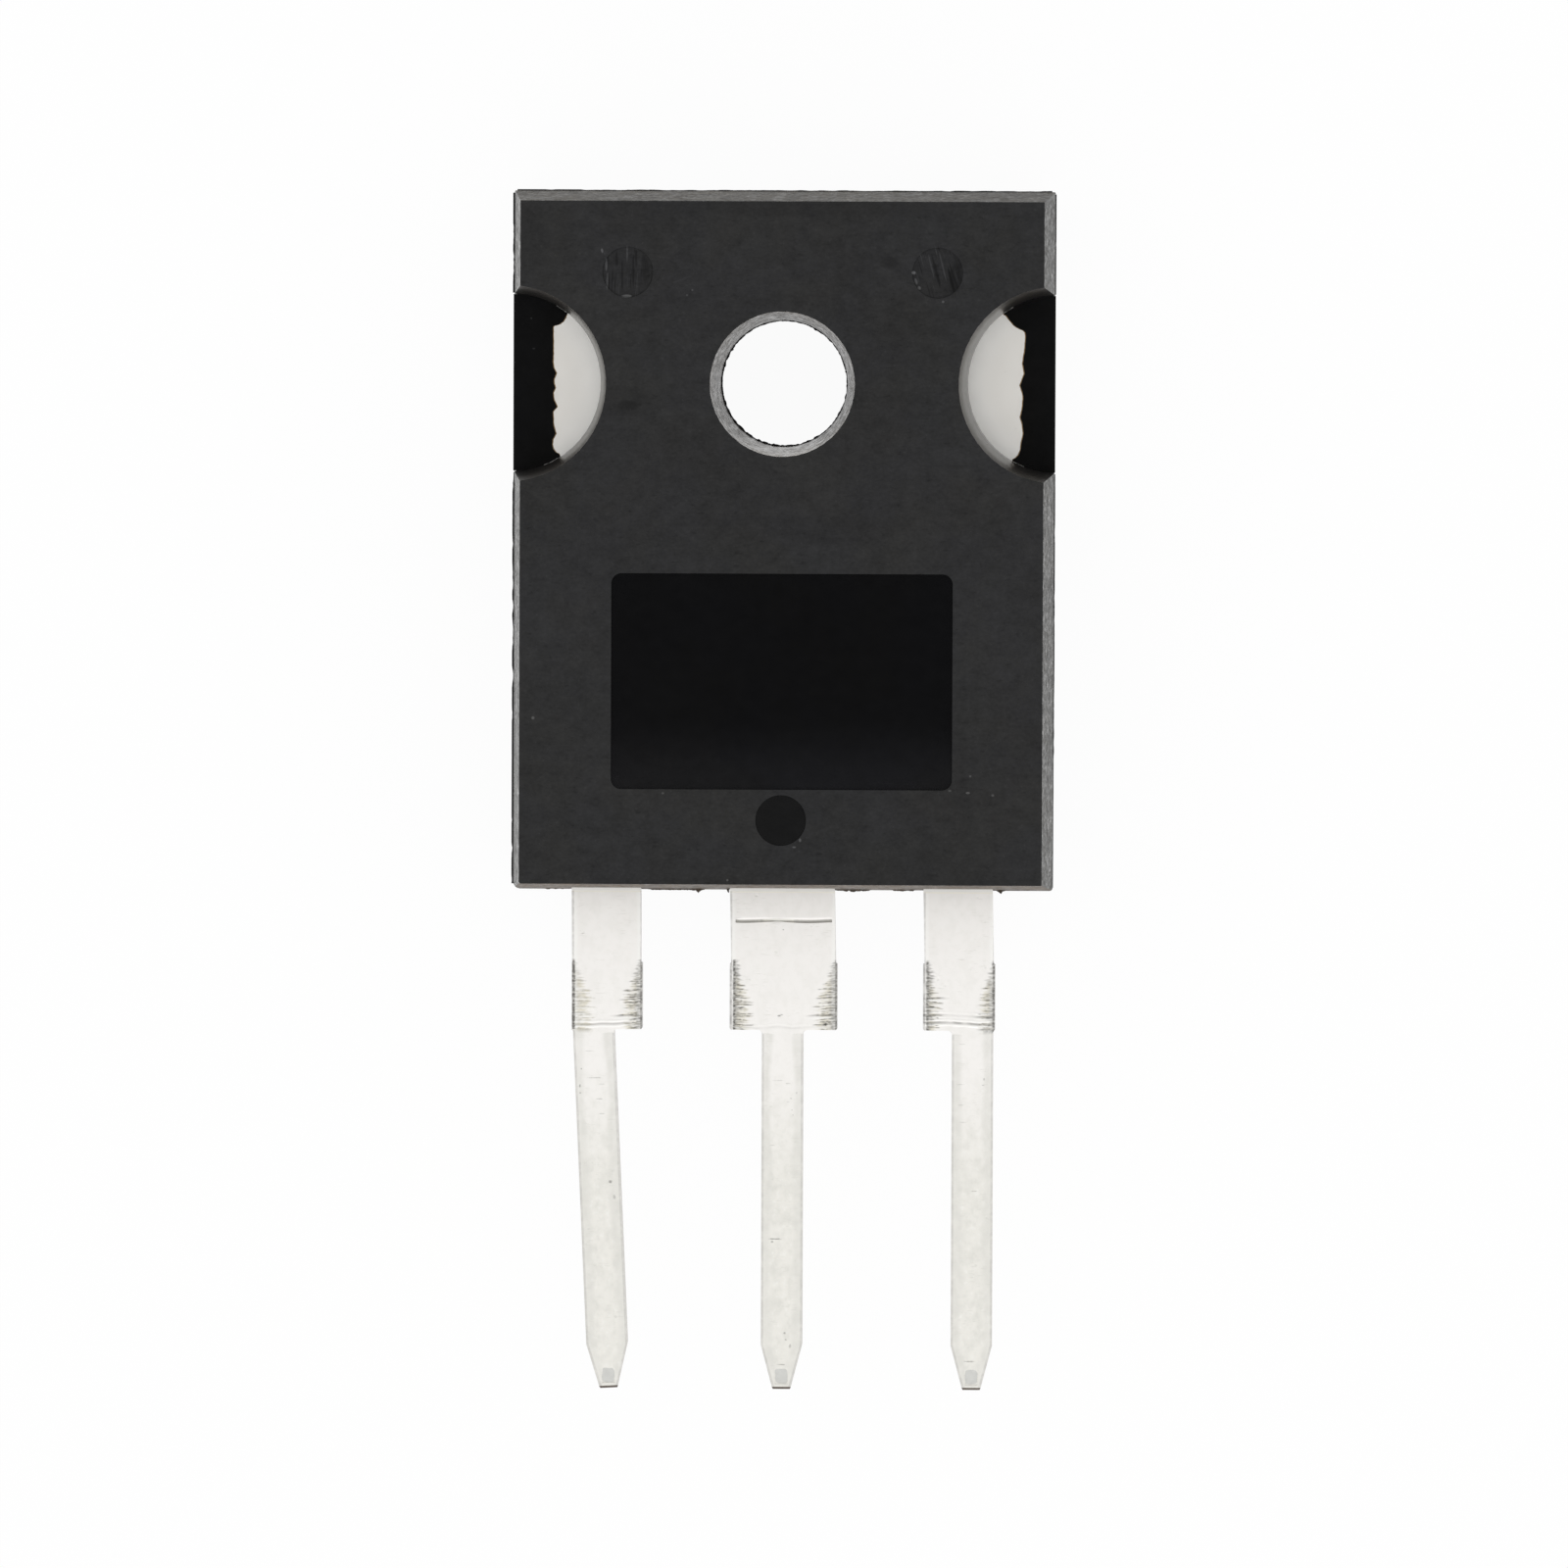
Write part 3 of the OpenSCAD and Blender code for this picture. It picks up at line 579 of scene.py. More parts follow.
def makeMoulding():
    bm = nodeCopy("mould_body")
    fitMoulding(bm)
    near = moulding["near"]
    reach = moulding["markRadius"] + near

    def atMark(p):
        return onPanel(p) or inMark(p, "dot", reach) or inMark(p, "pin", reach)

    def atCorner(p):
        return atSide(p) and (atHoleEnd(p) or atLeadEnd(p))

    def onCorner(a, b):
        return atCorner(a) and atCorner(b) and abs(a.z - b.z) > 1 * mm

    def onNotch(a, b):
        return abs(a.z - b.z) > near and all(abs(abs(p.x) - halfWidth) < 0.5 * mm
                                             and 2.4 * mm < abs(p.y) < 2.95 * mm for p in (a, b))

    def onBack(a, b):
        return all(p.z < near and (atSide(p) or atHoleEnd(p) or atLeadEnd(p)) for p in (a, b))

    corners = [v.co.copy() for v in bm.verts if onFront(v.co) and atCorner(v.co)]
    left, right = moulding["leadCorners"]
    for radius, mine in ((moulding["holeCorners"], atHoleEnd), (left, lambda p: atLeadEnd(p) and p.x < 0),
                         (right, lambda p: atLeadEnd(p) and p.x > 0)):
        roundEdges(bm, radius, 4, lambda a, b: onCorner(a, b) and mine(a))
    for v in bm.verts:  # the corners are sharper at the front than at the parting line
        nearest = min(corners, key=lambda c: (c - v.co).length)
        if onFront(v.co) and (nearest - v.co).length < 0.3 * mm:
            v.co = nearest + (v.co - nearest) * moulding["frontCorner"]
    left, right, low, high = moulding["panelGrowth"]
    for v in bm.verts:
        if onPanel(v.co):
            v.co.x += right if v.co.x > 0 else -left
            v.co.y += high if v.co.y > moulding["panelY"] else -low
    roundEdges(bm, moulding["panelRadius"], 2,
               lambda a, b: onFront(a) and onFront(b) and atMark(a) and atMark(b))
    roundEdges(bm, moulding["edgeRadius"], 3,
               lambda a, b: onNotch(a, b) or (onFront(a) and onFront(b) and not (atMark(a) and atMark(b))))
    roundEdges(bm, moulding["rimRadius"], 2, onBack)
    bm.normal_update()
    names = list(mouldFinishes)
    for face in bm.faces:
        face.material_index = names.index(mouldFace(face))
    materials = [mouldMaterial(name, *values, **others) for name, (*values, others) in mouldFinishes.items()]
    placed(newPiece("mouldedBody", bm, materials), "moulding", "mould_body")


makeMoulding()
print("moulded body")


# Tin plate on copper

tinPlate = {
    "colour": (0.955, 0.935, 0.905),
    "dull": (0.78, 0.77, 0.72),
    "stain": (0.79, 0.755, 0.655),
    "aged": (0.86, 0.845, 0.79),
    "shaftEdgeShade": (0.76, 0.75, 0.705),
    "edgeShade": (0.42, 0.41, 0.4),
    "pale": (0.99, 0.985, 0.955),
    "root": (0.98, 0.95, 0.86),
    "scrapeAndShade": (0.09, 0.085, 0.075),
    "metallic": 0.55,
    "roughness": 0.5,
    "grain": 0.001 * mm,
    "agedPlace": (leadEnd - 4.6 * mm, leadEnd - 9 * mm),      # the plating ages between these places
    "rootPlace": (leadEnd - 0.07 * mm, leadEnd - 0.04 * mm),
    "pressed": (0.7, 0.7, 0.67),
    "flatCentres": (-4.99 * mm, 0.037 * mm, 5.55 * mm),
    "flatY": tipY + 0.39 * mm,
    "flatHalf": (0.185 * mm, 0.22 * mm),
    "grooveShade": (0.6, 0.59, 0.56),
    "tab": (0.955, 0.93, 0.88),
    "tabPaintedLight": (1.0, 0.985, 0.945),
    "tabPaintedLightPlace": (1.7 * mm, 2.5 * mm),      # painted light that makes up for the notch walls' shade, away from the middle of a notch
    "tabMetallic": 1.0,
    "tabRoughness": 0.3,
    "copper": (0.19, 0.155, 0.13),
}

# Single pits and dashes on the leads, in millimetres: place, half sizes and darkness
leadPits = [
    (1.27, -18.57, 0.11, 0.055, 1.0), (-0.06, -18.33, 0.06, 0.03, 0.6), (0.01, -18.3, 0.05, 0.025, 0.45),
    (0.05, -15.83, 0.03, 0.02, 0.4), (-5.58, -19.38, 0.14, 0.014, 0.3), (-5.8, -19.9, 0.025, 0.03, 0.5),
    (-5.84, -20.4, 0.03, 0.07, 0.45), (-5.83, -20.6, 0.035, 0.02, 0.5), (-5.41, -20.16, 0.28, 0.016, 0.4),
    (-5.22, -20.34, 0.12, 0.014, 0.3), (-5.26, -20.77, 0.15, 0.018, 0.45), (-5.2, -21.2, 0.13, 0.014, 0.35),
    (0.2, -20.3, 0.11, 0.014, 0.35), (-0.25, -22.1, 0.09, 0.014, 0.35), (5.3, -21.4, 0.12, 0.014, 0.35),
    (5.62, -23.4, 0.1, 0.016, 0.4), (0.45, -20.57, 0.03, 0.045, 0.35), (0.29, -20.73, 0.04, 0.025, 0.3),
    (0.2, -20.83, 0.06, 0.015, 0.3), (0.32, -21.07, 0.03, 0.03, 0.3), (0.35, -21.21, 0.025, 0.04, 0.3),
    (-0.07, -20.21, 0.2, 0.014, 0.25), (5.89, -20.15, 0.035, 0.05, 0.3), (5.86, -20.32, 0.06, 0.02, 0.3),
    (-0.16, -24.82, 0.22, 0.03, 0.6), (-0.25, -24.9, 0.06, 0.04, 0.4), (0.13, -27.56, 0.045, 0.045, 0.45),
    (0.28, -27.95, 0.05, 0.08, 0.35), (0.16, -27.75, 0.04, 0.04, 0.35), (5.5, -28.36, 0.2, 0.024, 0.45),
    (5.58, -28.62, 0.18, 0.026, 0.5), (0.03, -28.48, 0.16, 0.022, 0.4), (-4.95, -23.18, 0.07, 0.06, 0.55),
    (-4.83, -23.62, 0.06, 0.11, 0.3), (5.25, -19.13, 0.12, 0.016, 0.25), (5.2, -20.3, 0.14, 0.014, 0.25),
    (5.22, -20.9, 0.11, 0.016, 0.25),
]


trimFields = ("scrapeAndShade", "pale", "stain", "rim", "shaft", "stub")      # what trimTree stores for this plating


def tinMaterial():
    material, start, at = newMaterial("tinnedLead")
    y = at.axes()[1]
    patches = at.noise((0.35 * mm, 0.5 * mm, 0.5 * mm), 0.021, 3)
    spots = at.noise((0.16 * mm, 0.2 * mm, 0.2 * mm), 0.071, 2)
    fine = at.noise(0.06 * mm, 0.004, 2)
    dash = at.noise((0.3 * mm, 0.032 * mm, 0.5 * mm), 0.033, 1).rise(0.63, 0.71)
    rare = at.noise(0.8 * mm, 0.017, 1).rise(0.48, 0.62)
    pit = at.cells(0.4 * mm, 0.041).rise(0.14, 0.07) * rare
    low = y.rise(*tinPlate["agedPlace"])
    scrapeAndShade, pale, stain, rim, shaft, stub = [
        start.node("ShaderNodeAttribute", {"attribute_name": name}, None, "Fac") for name in trimFields]
    # Painted shade in a band along each edge of the shafts
    wide = 0.13 + 0.12 * at.noise((5 * mm, 2.5 * mm, 5 * mm), 0.037, 1).rise(0.3, 0.7)
    shaftEdgeShade = shaft * (rim - wide).rise(0.17, 0.0)
    # Painted highlight along the edges of the wide part
    bright = (1 - shaft) * rim.rise(0.2, 0.12)
    # Painted shade on the rounded edges of the leads, stronger on the wide part
    edgeShade = rim.rise(0.075, 0.055) * (0.35 * shaft + (1 - shaft) * (0.45 + 0.5 * stub))
    ragged = at.noise(0.07 * mm, 0.019, 2) - 0.5
    single = 0.0 * y
    for px, py, a, b, dark in leadPits:
        mark = at.spot((px * mm, py * mm, leadTop), (a * mm, b * mm, 1 * mm), 0.3, 1.2 * ragged)
        single = single.most(dark * mark)
    dull = ((0.15 + 0.5 * low) * patches.rise(0.42, 0.68) + (0.1 + 0.35 * low) * spots.rise(0.48, 0.7)
            + (0.35 + 0.65 * low) * dash * rare + 0.8 * pit * (0.3 + low)).least(1.0)
    tone = start.tint(0.9 * low, tinPlate["colour"], tinPlate["aged"])
    tone = start.tint(dull, tone, tinPlate["dull"])
    tone = start.tint(0.3 * low * spots.rise(0.44, 0.28), tone, tinPlate["pale"])
    tone = start.tint(stain, tone, tinPlate["stain"])
    tone = start.tint(shaftEdgeShade * (0.38 + 0.3 * patches.rise(0.3, 0.65)), tone, tinPlate["shaftEdgeShade"])
    tone = start.tint(0.6 * bright, tone, tinPlate["pale"])
    tone = start.tint(0.9 * pale, tone, tinPlate["pale"])
    tone = start.tint(y.rise(*tinPlate["rootPlace"]), tone, tinPlate["root"])
    tone = start.tint(edgeShade * (0.55 + 0.45 * spots.rise(0.35, 0.6)), tone, tinPlate["edgeShade"])
    # Drag marks, pits and dashes, darkened further by the painted shade and reflection of the drag marks'
    # ridges
    colour = start.tint(scrapeAndShade.most(single).least(1.0), tone, tinPlate["scrapeAndShade"])
    rough = tinPlate["roughness"] + 0.08 * (patches - 0.5) - 0.1 * scrapeAndShade.least(1.0)
    height = fine + 3 * patches - 5 * pit - 3 * dash * rare - 4 * single
    finishMaterial(start, {"Base Color": colour, "Metallic": tinPlate["metallic"], "Roughness": rough},
                   height, tinPlate["grain"])
    return material


def tabMaterial():
    material, start, at = newMaterial("tinnedTab")
    patches = at.noise(0.6 * mm, 0.027, 3)
    fine = at.noise(0.05 * mm, 0.006, 2)
    pit = at.cells(0.5 * mm, 0.043).rise(0.1, 0.03)
    plain = start.tint((0.4 * patches + 0.4 * pit).least(1.0), tinPlate["tab"], darker(tinPlate["tab"], 0.9))
    x, y, z = at.axes()
    fromMiddle = start.joined(abs(x) - moulding["notchX"], y).vector("LENGTH", out="Value")
    # Paler towards the notch walls: painted light against the shade the walls cast on the tab
    colour = start.tint(fromMiddle.rise(*tinPlate["tabPaintedLightPlace"]), plain, tinPlate["tabPaintedLight"])
    finishMaterial(start, {"Base Color": colour, "Metallic": tinPlate["tabMetallic"],
                           "Roughness": tinPlate["tabRoughness"] + 0.06 * (patches - 0.5)},
                   fine + 2 * patches, 0.0006 * mm)
    return material


def pressedMaterial():  # tin that a tool has pressed smooth, ragged and rounded at its border
    material, start, at = newMaterial("pressedTin")
    x, y, z = at.axes()
    patches = at.noise(0.15 * mm, 0.029, 3)
    ragged = at.noise(0.13 * mm, 0.051, 2) - 0.5
    first, second, third = [abs(x - centre) for centre in tinPlate["flatCentres"]]
    across = first.least(second).least(third) / tinPlate["flatHalf"][0]
    along = abs((y - tinPlate["flatY"]) / tinPlate["flatHalf"][1])
    border = (across ** 4.0 + along ** 4.0 + 1.4 * ragged).rise(0.75, 1.15)
    pressed = start.tint(patches, tinPlate["pressed"], darker(tinPlate["pressed"], 0.82))
    colour = start.tint(0.85 * border, pressed, tinPlate["aged"])
    finishMaterial(start, {"Base Color": colour, "Metallic": tinPlate["metallic"],
                           "Roughness": 0.4 + 0.1 * (patches - 0.5)}, patches, 0.0012 * mm)
    return material


def grooveMaterial():  # the pressed line carries painted shade, lighter in patches and towards its middle, where the line is shallow
    material, start, at = newMaterial("pressedLine")
    x = at.axes()[0]
    # worn is the share of paler tin, where the painted shade in the line is lighter
    worn = at.noise((0.3 * mm, 3 * mm, 3 * mm), 0.0135, 2) + 0.4 * abs(x / mm + 0.07).rise(0.55, 0.25)
    speck = at.noise(0.05 * mm, 0.009, 2)
    share = (0.85 * worn.rise(0.5, 0.7) + 0.2 * speck).least(1.0)
    colour = start.tint(share, tinPlate["grooveShade"], tinPlate["dull"])
    finishMaterial(start, {"Base Color": colour, "Metallic": tinPlate["metallic"],
                           "Roughness": 0.45 + 0.1 * (speck - 0.5)}, speck, 0.002 * mm)
    return material


def copperMaterial():
    material, start, at = newMaterial("cutCopper")
    streak = at.noise((0.03 * mm, 0.3 * mm, 0.2 * mm), 0.009, 2)
    colour = start.tint(streak, tinPlate["copper"], darker(tinPlate["copper"], 0.4))
    finishMaterial(start, {"Base Color": colour, "Metallic": 0.8, "Roughness": 0.5}, streak, 0.002 * mm)
    return material


tinned = tinMaterial()
tinnedTab = tabMaterial()
pressedTin = pressedMaterial()
pressedLine = grooveMaterial()
cutCopper = copperMaterial()

leads = {
    "outside": leadEnd - 0.02 * mm,
    "shoulder": leadEnd - 4.04 * mm,
    "marksTop": leadEnd - 1.98 * mm,
    "halfShaft": 0.6 * mm,
    "halfTip": 0.248 * mm,
    "taper": 1.3 * mm,
    "edgeRadius": 0.055 * mm,
    "fillet": 0.13 * mm,
    "fineStep": 0.022 * mm,
    "middleStep": 0.06 * mm,
    "coarseStep": 0.12 * mm,
    "marksReach": 0.66 * mm,
    "tipScale": 0.87,
    "flatScale": 1.3,
    "flatLength": 0.62 * mm,
    "bevelCut": 0.045 * mm,
    "tipBand": 0.16 * mm,
    "lineY": leadEnd - 0.87 * mm,
    "lineReach": 0.1 * mm,
    "lineShallow": (-0.07, 0.28, 0.8),      # place, reach in millimetres, and share of the depth that is lost
    "lineWaver": (0.016 * mm, 3.4, 2.2),
    "reliefDepth": 0.012 * mm,
    # how far the wide part and the shaft of each lead stand to the right of their drawn places
    "shifts": {"gate_lead": (0.014 * mm, 0.0), "drain_tab": (0.06 * mm, 0.037 * mm),
               "source_lead": (0.06 * mm, 0.1 * mm)},
}

# What the trimming tool left on each lead, in millimetres, with painted shade and highlights on its ridges
# and creases. A crease has its distance from the body and the darkness of its painted shade. Each side has,
# in the
# order of sideUnits: its edge, how far the drag marks reach, how dark they and the smear at the edge are, how
# wide the smear is, a clean strip at the edge, a dark line along it, and one long streak, with its distance
# from the body and its reach.
sideUnits = {"Edge": mm, "Reach": mm, "Dark": 1, "Smear": 1, "Smear Width": mm, "Strip": mm, "Line": mm,
             "Line Width": mm, "Line Dark": 1, "Long": mm, "Long Reach": mm}
trims = {
    "gate_lead": {
        "Centre": -5.45, "Lean": 2.6, "Seed": 3.0, "Crease": (3.86, 0.35), "Upper Crease": (0.0, 0.0),
        "Left": (-6.1, 0.6, 0.35, 0.25, 0.3, 0.0, 0.055, 0.08, 0.9, 3.53, 0.55),
        "Right": (-4.05, 0.56, 0.85, 0.62, 0.28, 0.0, 0.03, 0.05, 0.75, 3.64, 1.0)},
    "drain_tab": {
        "Centre": 0.0, "Lean": 0.0, "Seed": 31.0, "Crease": (3.95, 0.1), "Upper Crease": (0.0, 0.0),
        "Left": (-1.56, 0.6, 0.85, 0.75, 0.2, 0.1, 0.13, 0.07, 0.95, 3.3, 0.7),
        "Right": (1.56, 0.6, 0.85, 0.65, 0.24, 0.0, 0.03, 0.05, 0.75, 3.62, 1.0)},
    "source_lead": {
        "Centre": 5.45, "Lean": 0.0, "Seed": 17.0, "Crease": (3.81, 0.55), "Upper Crease": (3.59, 0.6),
        "Left": (4.05, 0.5, 0.85, 0.75, 0.2, 0.095, 0.13, 0.08, 0.85, 3.1, 0.8),
        "Right": (6.14, 0.46, 0.75, 0.55, 0.26, 0.0, 0.05, 0.07, 0.85, 3.98, 0.6)},
}

# The same for all three leads
trimPlaces = {
    "Start": leads["marksTop"], "Stop": leads["shoulder"], "Top": leadTop, "Depth": leads["reliefDepth"],
    "Half Shaft": leads["halfShaft"], "Half Tip": leads["halfTip"], "Taper": leads["taper"], "Tip": tipY,
}


def trimValues(node):  # what trimTree is given, in metres
    trim = trims[node]
    values = {"Centre": trim["Centre"] * mm, "Lean": math.radians(trim["Lean"]), "Seed": trim["Seed"] * mm}
    for name in ("Crease", "Upper Crease"):
        values[name] = leadEnd - trim[name][0] * mm
        values[name + " Dark"] = trim[name][1]
    for side in ("Left", "Right"):
        for (name, unit), value in zip(sideUnits.items(), trim[side]):
            values[side + " " + name] = leadEnd - value * mm if name == "Long" else value * unit
    return values


def trimTree():  # drag marks beside the cut dam bar, as relief and as attributes for the plating, which also paint in the shade and highlights of their ridges, creases and grooves
    numbers = [(name, "Float", 0.0) for name in [*trimValues("gate_lead"), *trimPlaces]]
    tree, given = newTree("trimMarks", numbers + [("Material", "Material", None)])
    x, y, z = given.node("GeometryNodeInputPosition").axes()
    seed, start, stop, top = [given.other(name) for name in ("Seed", "Start", "Stop", "Top")]
    place = given.joined(x + seed, y + 3 * seed, z)
    down = (start - y) / (start - stop)
    within = down.rise(0.0, 0.03) * (y - stop).rise(-0.03 * mm, 0.0)
    onTop = z.rise(top - 0.1 * mm, top - 0.04 * mm)
    bent = place.noise((0.9 * mm, 5 * mm, 5 * mm), 0.0, 1)
    broken = place.noise((0.14 * mm, 0.06 * mm, 1 * mm), 0.002, 2).rise(0.38, 0.58)
    blotch = place.noise((0.3 * mm, 0.22 * mm, 1 * mm), 0.006, 2).rise(0.4, 0.6)
    dark, lift, pale, stain, edged = [0.0 * x for _ in range(5)]
    for side, sign in (("Left", 1), ("Right", -1)):
        mine = {name: given.other(side + " " + name) for name in sideUnits}
        fromEdge = (x - mine["Edge"]) * sign
        row = given.joined(y=y + seed * (2 + sign) + 0.1 * mm * bent + 0.06 * fromEdge)
        strength = row.noise(0.07 * mm, 0.0, 1).rise(0.35, 0.65)
        streak = row.noise(0.05 * mm, 0.001, 1)
        wedge = mine["Reach"] * (0.22 + 0.78 * down.rise(0.0, 0.65))
        reach = wedge * (0.35 + 0.95 * strength)
        inStrip = (fromEdge - mine["Strip"]).rise(0.0, 0.02 * mm)
        fade = (reach - fromEdge).rise(0.0, 0.14 * mm)
        streaks = fade * streak.rise(0.44, 0.54) * (0.35 + 0.65 * broken)
        smear = wedge.least(mine["Smear Width"]) * (0.6 + 0.7 * strength) - fromEdge + mine["Strip"]
        smear = smear.rise(-0.05 * mm, 0.08 * mm) * (0.25 + 0.4 * streak.rise(0.4, 0.58) + 0.35 * broken)
        width = mine["Line Width"] * (0.35 + 1.3 * place.noise((5 * mm, 0.09 * mm, 5 * mm), 0.004, 2))
        line = abs(fromEdge - mine["Line"]).rise(width * 0.8, width * 0.3)
        # One long streak is sunk into the relief, with painted shade in it and a painted highlight along its
        # lower lip
        far = (mine["Long Reach"] - fromEdge) / mine["Long Reach"]
        long = abs(y - mine["Long"] - 0.08 * mm * (bent - 0.5)).rise(0.04 * mm, 0.01 * mm)
        long = long * far.rise(0.0, 0.5)
        lower = abs(y - mine["Long"] + 0.07 * mm).rise(0.04 * mm, 0.01 * mm) * far.rise(0.0, 0.4)
        # The dark and pale streaks are the drag marks' own tone together with painted shade and highlights on
        # their ridges
        dark = dark.most(mine["Dark"] * within * inStrip * streaks)
        dark = dark.most(mine["Smear"] * within * inStrip * smear)
        dark = dark.most(mine["Line Dark"] * within * line * (0.45 + 0.55 * broken))
        dark = dark.most(0.85 * mine["Dark"] * within * inStrip * long * (0.6 + 0.4 * broken))
        pale = pale.most(within * inStrip * fade * streak.rise(0.46, 0.36)).most(within * lower)
        spread = (wedge * (0.8 + 0.4 * strength) - fromEdge).rise(0.0, 0.16 * mm)
        stain = stain.most(within * inStrip * spread * (0.3 + 0.4 * broken + 0.6 * blotch))
        edged = edged.most(within * (0.25 + 6 * mine["Strip"] / mm) * fromEdge.rise(0.3 * mm, 0.2 * mm))
        lift = lift + within * fade * (0.5 - streak) * 2 - within * long
    across = place.noise((0.45 * mm, 9 * mm, 9 * mm), 0.003, 1)
    wideEdge = (x - given.other("Left Edge")).least(given.other("Right Edge") - x)
    # Creases: painted shade in each crease and a painted highlight on its lips, beside the relief they sink
    # into
    for name, kept in (("Crease", 0.35 + 0.65 * across.rise(0.33, 0.5)),
                       ("Upper Crease", 0.15 + 0.85 * wideEdge.rise(0.75 * mm, 0.3 * mm))):
        wave = y - given.other(name) - 0.14 * mm * (bent - 0.5)
        strength = given.other(name + " Dark")
        crease = abs(wave).rise(0.045 * mm, 0.008 * mm) * kept
        lip = abs(abs(wave) - 0.07 * mm).rise(0.045 * mm, 0.01 * mm) * kept
        dark = dark.most(strength * crease)
        pale = pale.most(strength.rise(0.0, 0.5) * lip)
        lift = lift + strength * 2 * (lip - crease)
    below = (stop - y).most(0.0)
    lean = given.sum("TANGENT", given.other("Lean"))
    ending = (y - given.other("Tip")) / given.other("Taper")
    halfTip = given.other("Half Tip")
    half = halfTip + (given.other("Half Shaft") - halfTip) * ending.least(1.0)
    shaftEdge = half - abs(x - given.other("Centre") - below * lean)
    isShaft = (stop - y).rise(0.0, 0.02 * mm)
    fromRim = isShaft * shaftEdge + (1 - isShaft) * wideEdge
    move = given.joined(z=given.other("Depth") * onTop * lift)
    geometry = given.node("GeometryNodeSetPosition", None, {0: given, "Offset": move})
    fields = (dark * onTop, pale * onTop, stain * onTop, fromRim / mm, isShaft, edged)
    for name, value in zip(trimFields, fields):
        geometry = given.node("GeometryNodeStoreNamedAttribute", {"data_type": "FLOAT", "domain": "POINT"},
                              {0: geometry, "Name": name, "Value": value})
    first = given.node("FunctionNodeCompare", {"data_type": "INT", "operation": "EQUAL"},
                       {2: given.node("GeometryNodeInputMaterialIndex"), 3: 0})
    return endTree(geometry, given.other("Material"), first)


trimMarks = trimTree()


def cutAt(bm, geometry, point, normal):
    return bmesh.ops.bisect_plane(bm, geom=geometry, dist=1e-8, plane_co=point, plane_no=normal)["geom"]


def cutRows(bm, geometry, axis, first, last, step):
    count = max(1, round(abs(last - first) / step))
    normal = Vector([1.0 if i == axis else 0.0 for i in range(3)])
    for i in range(1, count):
        point = normal * (first + (last - first) * i / count)
        geometry = cutAt(bm, geometry, point, normal)
    return geometry


def region(bm, inside):
    faces = [f for f in bm.faces if inside(f.calc_center_median())]
    edges = {e for f in faces for e in f.edges}
    points = {v for e in edges for v in e.verts}
    return faces + list(edges) + list(points)


def onLine(p):
    return abs(p.y - leads["lineY"]) < leads["lineReach"] and p.z > leadTop - 0.1 * mm


def leadFace(face):  # 0 plating, 1 bare copper, 2 tab, 3 pressed flat, 4 pressed line
    centre, normal = face.calc_center_median(), face.normal
    if centre.y > leadEnd:
        return 2
    if centre.y < tipY + leads["tipBand"] and normal.y < -0.5:
        return 1
    sunk = centre.z < leadTop - 0.004 * mm and normal.z > 0.2
    if sunk and abs(centre.y - leads["lineY"]) < 0.06 * mm and abs(centre.x) < 1.5 * mm:
        return 4
    return 3 if sunk and normal.z > 0.9 and centre.y < tipY + leads["flatLength"] else 0


